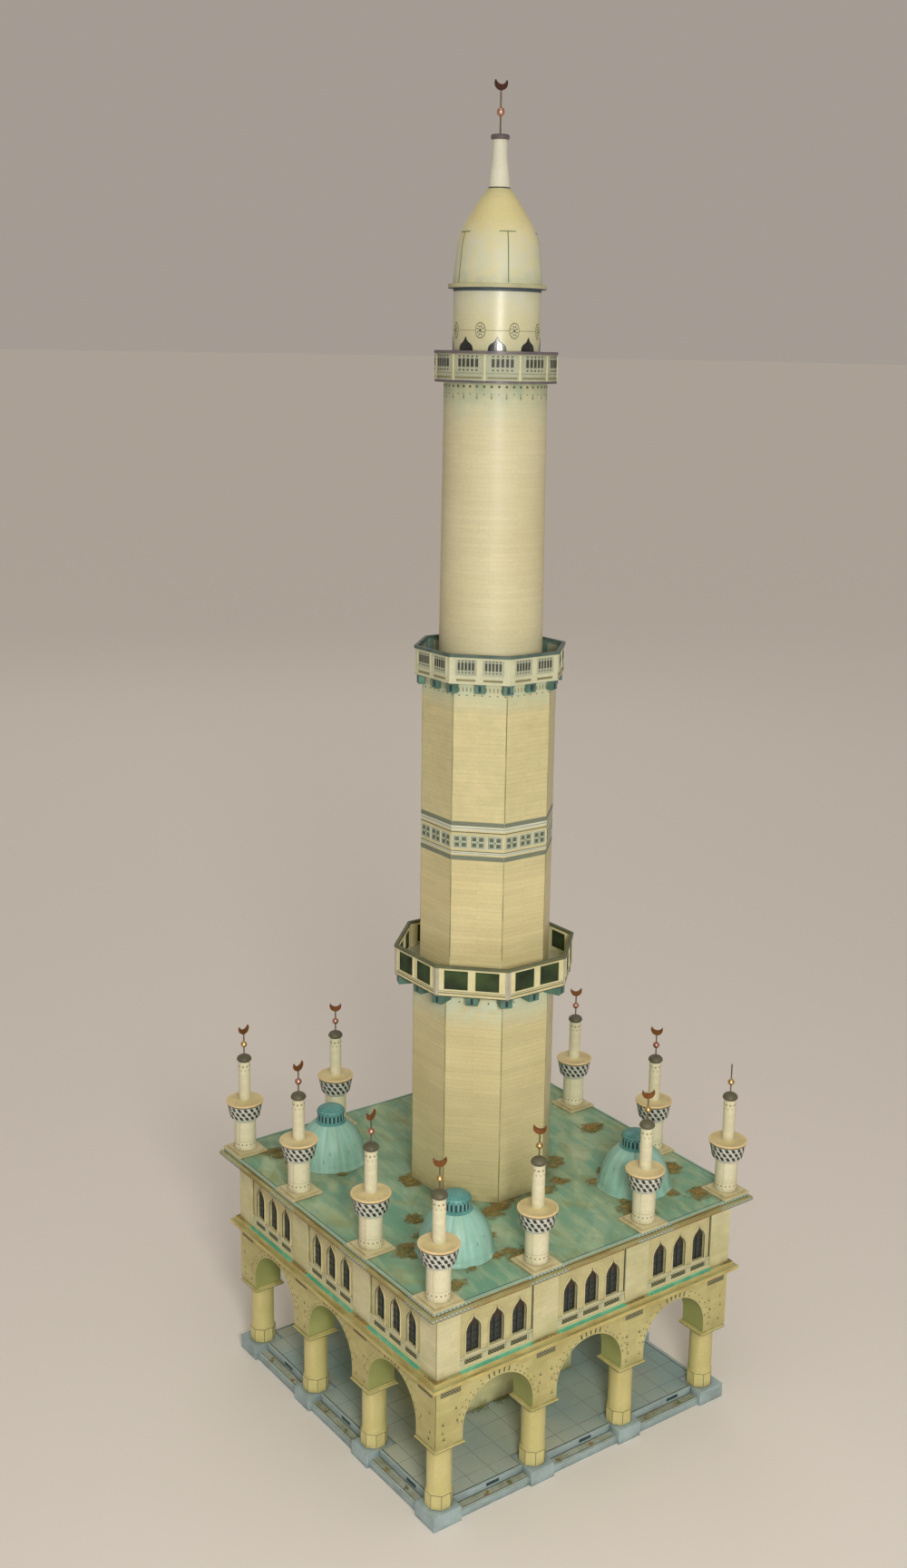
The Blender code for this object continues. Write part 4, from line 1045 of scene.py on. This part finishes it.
# Rows of frames are low, high, bottom, top, width, thickness, surface
galleries = {
    "floor": 1.2, "wall": 0.3, "thick": 0.6, "coping": 0.8, "bracketDrop": 2.8, "bracketShort": 1.2,
    "lower": {
        "face": 25.9, "low": 138.4, "top": 147.8, "inner": 18.7, "below": 20.4, "bracketHalf": 1.75,
        "card": "frameCream copingOlive frameCream sillCream",
        "print": "panelGreen railOlive frameCream inkDark seamGrey",
        "bands": ((139.3, 139.62, 0.12, 1), (138.75, 138.95, 0.12, 2), (138.42, 138.6, 0.1, 3),
                  (139.98, 140.1, 0.06, 3)),
        "corners": ((-10.584, -9.604, 138.7, 146.9, 0.14, 4), (9.904, 10.584, 138.7, 146.9, 0.14, 4)),
        # Two panels to a side; places along it are counted from a panel's middle
        "aside": 4.6, "outside": ((-3.5, 3.5, 140.7, 146.5, 0.06, 0),),
        "inside": ((-3.2, 3.2, 140.8, 146.3, 0.06, 0),),
        "outsideFrames": ((-3.8, 3.8, 140.4, 146.8, 0.3, 0.22, 2),),
        "insideFrames": ((-3.5, 3.5, 140.5, 146.6, 0.3, 0.22, 2),), "slitPitch": 0.0, "slits": ()},
    "middle": {
        "face": 21.0, "low": 229.9, "top": 238.3, "inner": 15.2, "below": 18.6, "bracketHalf": 1.5,
        "card": "framePale copingTeal innerTeal innerTeal",
        "print": "panelPale slitDark railOlive framePale",
        "bands": ((230.0, 230.3, 0.14, 3),), "corners": (), "aside": 3.875,
        "outside": ((-3.025, 3.025, 232.4, 237.0, 0.05, 0), (-2.725, 2.725, 230.75, 231.35, 0.1, 2)),
        "inside": ((-2.425, 2.425, 232.0, 236.8, 0.05, 0),),
        "outsideFrames": ((-3.325, 3.325, 231.9, 237.2, 0.3, 0.22, 3),), "insideFrames": (),
        "slitPitch": 6.05 / 6,
        "slits": ((-0.32, 0.32, 233.9, 236.1, 0.12, 1), (-0.2, 0.2, 236.4, 236.75, 0.1, 1),
                  (-0.2, 0.2, 233.1, 233.45, 0.1, 1))},
    "upper": {
        "face": 17.35, "low": 312.3, "top": 320.9, "inner": 12.35, "panels": 11, "firstJoint": 313.0,
        "count": 88,
        "card": "panelPale copingPurple innerTeal innerTeal",
        "print": "copingPurple slitDark railOlive frameCream",
        "bands": ((-4.809, 4.809, 312.4, 313.0, 0.1, 0), (-4.069, 4.069, 313.55, 314.0, 0.08, 2),
                  (-4.469, 4.469, 314.9, 315.02, 0.05, 2), (-4.469, 4.469, 319.72, 319.84, 0.05, 2)),
        "seams": ((-5.069, -4.669, 313.0, 319.9, 0.14, 3),), "slitPitch": 1.3,
        "slits": ((-0.4, 0.4, 316.6, 318.8, 0.1, 1), (-0.22, 0.22, 319.2, 319.6, 0.08, 1),
                  (-0.22, 0.22, 315.6, 316.0, 0.08, 1))},
}


def gallerySection(size, stretch=1.0):
    # Floor, parapet and coping as a closed section
    face, low, top, inner = size["face"], size["low"], size["top"], size["inner"]
    wall = face - galleries["wall"]
    back = wall - galleries["thick"]
    floor, shoulder = low + galleries["floor"], top - galleries["coping"]
    section = bands((0, inner, low, wall, low, wall, shoulder),
                    (1, face, shoulder, face, top, back - 0.1, top, back - 0.1, shoulder),
                    (2, back, shoulder, back, floor), (3, inner, floor))
    return [(radius * stretch, height, index) for radius, height, index in section]


def addBrackets(bm, size):
    half, low = size["bracketHalf"], size["low"]
    for k in range(16):
        stretch, behind = (eighthCorner, 0.4) if k % 2 else (1.0, 0.1)
        reach, start = size["face"] * stretch - galleries["bracketShort"], size["below"] * stretch - behind
        for wide, out, bottom, back, top, index in (
                (half, reach, galleries["bracketDrop"], start, 0.0, 0),
                (half + 0.12, reach + 0.12, 0.5, start, 0.0, 2),
                (0.4, reach + 0.06, 2.4, reach - 0.1, 0.6, 1)):
            addBlock(bm, (-wide, -out, low - bottom), (wide, -back, low - top), 22.5 * k, index)


def buildLowerGalleries():
    for name in ("lower", "middle"):
        size = galleries[name]
        bm = bmesh.new()
        addLathe(bm, gallerySection(size, eighthCorner), 8, 22.5, True)
        finishPiece(name + "GalleryCard", bm, size["card"], "gallery_" + name, bevel=0.12)
        bm = bmesh.new()
        addBrackets(bm, size)
        finishPiece(name + "GalleryBrackets", bm, "bracketTeal bracketStripe copingTeal", bevel=0.1)
        bm = bmesh.new()
        reach = size["face"] - galleries["wall"]
        half = reach * eighthHalf - 0.1
        for turn in eighths:
            outside, inside = onWall(turn, reach), onWall(turn, reach - galleries["thick"], -1)
            addMarks(bm, outside, [(-half, half, *band) for band in size["bands"]])
            addMarks(bm, outside, size["corners"])
            for middle in (-size["aside"], size["aside"]):
                for face, wall in (("outside", outside), ("inside", inside)):
                    addMarks(bm, wall, size[face], middle)
                    for frame in size[face + "Frames"]:
                        addFrame(bm, wall, *frame, middle)
                for step in range(-2, 3):
                    addMarks(bm, outside, size["slits"], middle + step * size["slitPitch"])
        finishPiece(name + "GalleryPanels", bm, size["print"])


def buildUpperGallery():
    size = galleries["upper"]
    bm = bmesh.new()
    addLathe(bm, gallerySection(size), size["count"], size["firstJoint"], True)
    finishPiece("upperGalleryCard", bm, size["card"], "gallery_upper", True, bevel=0.1)
    bm = bmesh.new()
    for k in range(size["panels"]):
        turn = size["firstJoint"] + (k + 0.5) * 360 / size["panels"]
        wall = onRound(size["face"] - galleries["wall"], turn)
        addMarks(bm, wall, size["bands"], columns=6)
        addMarks(bm, wall, size["seams"])
        for step in range(-2, 3):
            addMarks(bm, wall, size["slits"], step * size["slitPitch"])
    finishPiece("upperGalleryPanels", bm, size["print"])


def buildShaftPrint():
    # Small printed dots and strokes under the galleries, on the shafts
    bm = bmesh.new()
    pitch = 2 * shafts["middle"] * eighthHalf / shafts["middlePlaces"]
    for turn in eighths:
        addMarks(bm, onWall(turn, shafts["lower"]), shafts["lowerMarks"])
        wall = onWall(turn, shafts["middle"])
        for k in range(shafts["middlePlaces"]):
            marks = shafts["middleMarks"] + shafts["middleDots"] * (k % 2)
            addMarks(bm, wall, marks, (k + 0.5 - shafts["middlePlaces"] / 2) * pitch)
    for k in range(shafts["upperPlaces"]):
        wall = onRound(upperReach, 360 * k / shafts["upperPlaces"])
        addMarks(bm, wall, shafts["upperMarks"])
        if k % 2:
            addPatch(bm, spans(shafts["upperTips"]), wall, 0.05, 1)
    finishPiece("shaftPrint", bm, "inkDark railOlive")


# lantern, dome and finial

lantern = {
    "radius": 12.15, "low": 312.3, "high": 337.4, "count": 96, "archTurn": 9.2, "roseTurn": 31.7,
    "foot": 314.0, "half": 2.35, "spring": 321.0, "rise": 3.4,
    # Shares of the arch's half width and rise; then growth, thickness and surface of its edge and glass
    "curve": ((1.0, 0.0), (0.98, 0.17), (0.92, 0.3), (0.8, 0.42), (0.6, 0.53), (0.42, 0.6), (0.26, 0.7),
              (0.14, 0.84), (0.02, 1.0)),
    "arches": ((0.22, 0.08, 1), (0.0, 0.12, 0)), "bars": ((-2.25, 2.25, 320.5, 320.8, 0.2, 6),),
    # Discs of a rosette: reach, thickness, surface
    "rose": 326.3, "discs": ((2.05, 0.07, 5), (1.763, 0.1, 3), (0.451, 0.14, 2)),
    "rings": ((-1.2028, 1.2028, 336.7, 337.4, 0.06, 4), (-1.2028, 1.2028, 326.24, 326.36, 0.04, 5)),
    "print": "glassDark inkTeal tileDark lanternCard eaveShade railOlive glassBar",
}
dome = {
    "eave": bands((2, 13.55, 337.5, 13.68, 337.65), (1, 13.7, 338.6, 13.6, 338.7)), "count": 96,
    "shell": bands((1, 12.45, 338.75),
                   (0, 12.35, 340.0, 12.15, 342.2, 11.9, 344.5, 11.72, 346.5, 11.5, 348.3, 11.1, 350.6,
                    10.5, 352.6, 9.95, 353.8, 9.3, 355.0, 8.1, 356.8, 6.9, 358.8, 5.5, 361.0, 4.2, 362.7,
                    3.2, 364.0)),
    "seams": 5, "seamTurn": 337.0, "seamLow": 338.9, "seamRise": 13.3,
    "tees": ((-2.3, 2.3, 352.2, 352.46, 0.06, 0),),
    "spire": bands((1, 3.0, 364.1, 3.0, 364.35),
                   (0, 2.95, 364.4, 2.8, 366.5, 2.6, 368.5, 2.35, 370.3, 2.15, 372.0, 2.04, 374.5, 2.0,
                    376.7)),
    "finial": bands((0, 2.4, 376.8, 2.56, 376.95, 2.6, 377.6, 2.4, 378.0, 0.9, 378.15, 0.3, 378.25),
                    (1, 0.24, 378.4, 0.24, 382.6),
                    (2, 0.7, 382.85, 1.0, 383.3, 1.1, 383.85, 1.0, 384.4, 0.7, 384.85, 0.24, 385.1),
                    (1, 0.24, 389.3, 0.12, 389.4)),
    "crescent": {"foot": 389.3, "radius": 1.88, "thick": 0.7, "turn": -12, "index": 3},
}


def addArch(bm, wall):
    size = lantern
    for grow, thick, index in size["arches"]:
        half, rise = size["half"] + grow, size["rise"] + grow
        rows = [(size["foot"], -half, half)]
        rows += [(size["spring"] + rise * up, -half * across, half * across) for across, up in size["curve"]]
        addPatch(bm, spans(rows, 6), wall, thick, index, 0.1)
    addMarks(bm, wall, size["bars"], columns=6, sink=0.1)


def addRose(bm, wall):
    for reach, thick, index in lantern["discs"]:
        rows = []
        for step in range(9):
            angle = math.radians(-88 + step * 22)
            wide = 0.74 * reach * math.cos(angle)
            rows.append((lantern["rose"] + 1.06 * reach * math.sin(angle), -wide, wide))
        addPatch(bm, spans(rows, 4), wall, thick, index, 0.1)
    for turn in eighths:
        angle = math.radians(turn + 22.5)
        x, z = 0.8 * math.cos(angle), lantern["rose"] + 1.15 * math.sin(angle)
        addPatch(bm, tilted(x, z, 0.7, 0.24, angle + 0.6), wall, 0.13, 2)


def buildLantern():
    size = lantern
    bm = bmesh.new()
    addLathe(bm, [(size["radius"], size["low"], 0), (size["radius"], size["high"], 0)], size["count"])
    finishPiece("lanternCard", bm, "lanternCard", "lantern", True)
    bm = bmesh.new()
    for turn in eighths:
        addArch(bm, onRound(size["radius"], turn + size["archTurn"]))
        addRose(bm, onRound(size["radius"], turn + size["roseTurn"]))
    for k in range(32):
        addMarks(bm, onRound(size["radius"], 11.25 * k), size["rings"], columns=2)
    finishPiece("lanternPrint", bm, size["print"])


def buildDome():
    bm = bmesh.new()
    addLathe(bm, dome["eave"] + dome["shell"], dome["count"])
    finishPiece("domeCard", bm, "domeCard eaveCard eaveShade", "dome", True, slot="dome_card")
    bm = bmesh.new()
    for k in range(dome["seams"]):
        seam = onRound(reachOf(dome["shell"]), dome["seamTurn"] + 360 * k / dome["seams"])
        strip = spans([(dome["seamLow"] + dome["seamRise"] * i / 8, -0.14, 0.14) for i in range(9)])
        addPatch(bm, strip, seam, 0.05, 0, 0.1)
        addMarks(bm, seam, dome["tees"], columns=6, sink=0.1)
    finishPiece("domeSeams", bm, "seamGreen", slot="dome_card")
    bm = bmesh.new()
    addLathe(bm, dome["spire"], 40)
    finishPiece("spireCard", bm, "spireCard inkTeal", "spire", True)
    bm = bmesh.new()
    addLathe(bm, dome["finial"], 28)
    addCrescent(bm, **dome["crescent"])
    finishPiece("finialWire", bm, "capPurple wireGrey rosyMetal darkCopper", "finial", True,
                slot="bronze_wire")


# crumbs of rust and verdigris stain glued on

patina = {
    "seed": 77, "grain": 0.34, "roof": 71.2, "ledgeTop": 47.4, "floorTop": 4.8, "stepTop": 2.45,
    # x, y, spread, count and finish of each patch on the roof
    "patches": (
        (-21.5, -12.0, 3.6, 110, 1), (-10.0, -22.0, 4.2, 140, 1), (7.0, -22.4, 3.6, 100, 0),
        (16.0, -20.6, 2.6, 60, 0), (-47.0, -50.5, 3.4, 110, 2), (-20.1, -46.9, 3.6, 120, 1),
        (46.4, -49.6, 3.6, 120, 0), (22.5, -47.6, 4.4, 200, 0), (-46.9, -28.0, 3.4, 110, 2),
        (47.4, 4.0, 3.4, 120, 0), (22.0, -8.0, 3.4, 120, 2), (-22.0, 8.0, 3.4, 120, 1),
        (6.0, 22.0, 4.0, 150, 1), (22.0, 12.0, 3.4, 110, 2), (-47.0, 47.0, 3.4, 100, 1),
        (47.0, 47.0, 3.4, 100, 0), (50.5, -34.0, 3.0, 90, 0), (-34.0, -13.0, 3.0, 70, 2)),
    "domes": (-34.0, 34.0), "ledge": (-55.9, -17.3, 17.3, 55.9), "coreFoot": (-16.0, -8.0, 2.0, 12.0),
    "step": (-38.0, -29.0, -7.0, 6.0, 28.0, 39.0),
}


def grainTemplate():
    bm = bmesh.new()
    bmesh.ops.create_icosphere(bm, subdivisions=1, radius=1.0)
    corners = [vert.co.copy() for vert in bm.verts]
    faces = [[vert.index for vert in face.verts] for face in bm.faces]
    bm.free()
    return corners, faces


def addGrain(bm, template, chance, x, y, z, size, index):
    corners, faces = template
    turn = Matrix.Rotation(chance.uniform(0, 6.28), 3, "Z") @ Matrix.Rotation(chance.uniform(0, 3), 3, "X")
    squash = chance.uniform(0.45, 0.9)
    spots = [turn @ (corner * size) for corner in corners]
    made = [bm.verts.new((x + spot.x, y + spot.y, z + spot.z * squash)) for spot in spots]
    for face in faces:
        bm.faces.new([made[i] for i in face]).material_index = index


def addBlob(bm, chance, x, y, z, reach):
    # Thin stain with a ragged edge, its amount kept in each vertex
    wear = bm.verts.layers.float.get("wear") or bm.verts.layers.float.new("wear")
    count = 24
    ring = []
    for k in range(count):
        angle = 2 * math.pi * k / count
        wave = math.sin(3 * angle + x) * math.cos(2 * angle + y)
        far = reach * (0.8 + 0.2 * wave) * chance.uniform(0.88, 1.0)
        ring.append((x + far * math.cos(angle), y + far * 0.8 * math.sin(angle)))
    low = [bm.verts.new((a, b, z - 0.2)) for a, b in ring]
    high = [bm.verts.new((a, b, z + 0.05)) for a, b in ring]
    half = [bm.verts.new(((a + x) / 2, (b + y) / 2, z + 0.055)) for a, b in ring]
    middle = bm.verts.new((x, y, z + 0.06))
    middle[wear] = 1.0
    for vert in half:
        vert[wear] = 0.7
    bm.faces.new(low[::-1])
    for k in range(count):
        n = (k + 1) % count
        bm.faces.new((low[k], low[n], high[n], high[k]))
        bm.faces.new((high[k], high[n], half[n], half[k]))
        bm.faces.new((half[k], half[n], middle))


def buildPatina():
    chance = random.Random(patina["seed"])
    template = grainTemplate()
    bm, stains = bmesh.new(), bmesh.new()

    def scatter(x, y, z, spreadX, spreadY, count, main):
        edge = 58.2 if z > 60 else 56.1
        for _ in range(count):
            dx, dy = chance.gauss(0, spreadX * 0.5), chance.gauss(0, spreadY * 0.5)
            if max(abs(x + dx), abs(y + dy)) > edge:
                continue
            far = math.hypot(dx / spreadX, dy / spreadY)
            size = patina["grain"] * chance.uniform(0.5, 1.1)
            lift = max(0.0, 0.9 - far) * chance.uniform(0.0, 0.4)
            index = main if chance.random() < 0.65 else chance.randrange(3)
            addGrain(bm, template, chance, x + dx, y + dy, z + lift, size, index)

    roofTop = patina["roof"]
    for x, y, spread, count, main in patina["patches"]:
        scatter(x, y, roofTop, spread * 0.8, spread * 0.64, count // 2, main)
        for layer in range(4):
            dx, dy = chance.uniform(-0.8, 0.8) * spread, chance.uniform(-0.8, 0.8) * spread
            reach = spread * chance.uniform(0.8, 1.4)
            if max(abs(x + dx), abs(y + dy)) + reach < 57.5:
                addBlob(stains, chance, x + dx, y + dy, roofTop + 0.03 * layer, reach)
    for x in patina["domes"]:
        for y in patina["domes"]:
            for k in range(7):
                angle = math.radians(51 * k + chance.uniform(-14, 14))
                east, north = math.cos(angle), math.sin(angle)
                scatter(x + 12.0 * east, y + 12.0 * north, roofTop, 1.8, 1.8, 16, k % 3)
                addBlob(stains, chance, x + 12.4 * east, y + 12.4 * north, roofTop + 0.12 + 0.03 * (k % 2),
                        chance.uniform(2.2, 3.8))
    for turn in sides.values():
        for middle in patina["ledge"]:
            spot = spun(turn) @ Vector((middle, -55.9, 0))
            wide, deep = (4.0, 0.5) if turn in (0, 180) else (0.5, 4.0)
            scatter(spot.x, spot.y, patina["ledgeTop"], wide, deep, 80, chance.choice((0, 1, 1)))
        for along in patina["coreFoot"]:
            spot = spun(turn) @ Vector((along + chance.uniform(-2, 2), -22.0, 0))
            scatter(spot.x, spot.y, patina["floorTop"], 2.6, 1.4, 60, 2)
        for along in patina["step"]:
            spot = spun(turn) @ Vector((along + chance.uniform(-3, 3), -52.9, 0))
            addBlob(stains, chance, spot.x, spot.y, patina["stepTop"] - 0.01, chance.uniform(0.6, 1.1))
            scatter(spot.x, spot.y, patina["stepTop"], 1.2, 1.2, 9, chance.choice((0, 1, 2)))
    finishPiece("patinaStains", stains, "patinaStain", slot="aqua_card")
    finishPiece("patinaCrumbs", bm, "patinaRust patinaOlive patinaGreen", smooth=True)


for stage in (buildBase, buildColumns, buildLedge, buildRoof, buildTurrets, buildRoofDomes, buildShafts,
              buildShaftEdges, buildTileBand, buildLowerGalleries, buildUpperGallery, buildShaftPrint,
              buildLantern, buildDome, buildPatina):
    stage()
    print("made:", stage.__name__)
for side, turn in sides.items():
    buildArcade(side, turn)
    buildArcadePrint(side, turn)
    buildStorey(side, turn)
print("made: hall sides")


# floor, light and camera, in metres and degrees

studio = {
    "floorHalf": 60.0, "floorColour": "ece6de", "eye": (-0.2909, -0.3883, 0.3213), "yaw": -36.9883,
    "pitch": -13.5126, "roll": 1.1226, "focal": 1862.546, "frame": (1000, 1728),
    "centre": (543.3274, 832.8279), "sensor": 36.0,
    # Place, target height, size, power, colour and spread of the lamps; the key is placed beside the eye
    "keyAside": 0.07,
    "lamps": {"key": (None, 0.17, 0.10, 0.82, (1.0, 0.97, 0.9), 130),
              "fill": ((0.1, -0.9, 0.7), 0.15, 0.8, 0.08, (0.96, 0.98, 1.0), 180),
              "rim": ((0.4, 0.9, 0.8), 0.15, 0.8, 0.8, (1.0, 0.98, 0.95), 180)},
    "sunPower": 0.38, "sunWide": 60, "sunTurn": (22, 0, -34), "sky": 0.42, "skyColour": "f2e6da",
}


def addToScene(name, data):
    made = bpy.data.objects.new(name, data)
    bpy.context.scene.collection.objects.link(made)
    return made


def buildFloor():
    bm = bmesh.new()
    bmesh.ops.create_grid(bm, x_segments=1, y_segments=1, size=studio["floorHalf"])
    mesh = bpy.data.meshes.new("studioFloor")
    bm.to_mesh(mesh)
    bm.free()
    plain = bpy.data.materials.new("paleFloor")
    plain.use_nodes = True
    shader = plain.node_tree.nodes["Principled BSDF"].inputs
    shader["Base Color"].default_value = sheen(studio["floorColour"])
    shader["Roughness"].default_value = 0.8
    mesh.materials.append(plain)
    addToScene("studioFloor", mesh)


def buildCamera():
    # The camera that was fitted to the photo; gives its place and its level direction to the right
    yaw, pitch, roll = (math.radians(studio[key]) for key in ("yaw", "pitch", "roll"))
    forward = Vector((-math.sin(yaw) * math.cos(pitch), math.cos(yaw) * math.cos(pitch), math.sin(pitch)))
    rightward = Vector((math.cos(yaw), math.sin(yaw), 0))
    upward = rightward.cross(forward)
    cameraRight = rightward * math.cos(roll) + upward * math.sin(roll)
    cameraUp = upward * math.cos(roll) - rightward * math.sin(roll)
    turn = Matrix((cameraRight, cameraUp, -forward)).transposed().to_4x4()
    eye = Vector(studio["eye"])
    wide, tall = studio["frame"]
    across, down = studio["centre"]
    lens = bpy.data.cameras.new("eye")
    lens.sensor_width = studio["sensor"]
    lens.lens = studio["sensor"] * studio["focal"] / tall
    lens.shift_x = (wide / 2 - across) / tall
    lens.shift_y = (down - tall / 2) / tall
    camera = addToScene("eye", lens)
    camera.matrix_world = Matrix.Translation(eye) @ turn
    bpy.context.scene.camera = camera
    return eye, rightward


def buildLight(eye, rightward):
    for name, (place, targetHeight, size, power, colour, spread) in studio["lamps"].items():
        place = Vector(place) if place else eye + rightward * studio["keyAside"]
        light = bpy.data.lights.new(name, "AREA")
        light.size, light.energy, light.color, light.spread = size, power, colour, math.radians(spread)
        lamp = addToScene(name, light)
        lamp.location = place
        lamp.rotation_euler = (Vector((0, 0, targetHeight)) - place).to_track_quat("-Z", "Y").to_euler()
    overhead = bpy.data.lights.new("overhead", "SUN")
    overhead.energy, overhead.angle = studio["sunPower"], math.radians(studio["sunWide"])
    addToScene("overhead", overhead).rotation_euler = [math.radians(turn) for turn in studio["sunTurn"]]
    sky = bpy.data.worlds.new("paleStudio")
    sky.use_nodes = True
    background = sky.node_tree.nodes["Background"].inputs
    background["Color"].default_value = sheen(studio["skyColour"])
    background["Strength"].default_value = studio["sky"]
    bpy.context.scene.world = sky
    bpy.context.scene.view_settings.view_transform = "Standard"


buildFloor()
buildLight(*buildCamera())
print("studio ready")
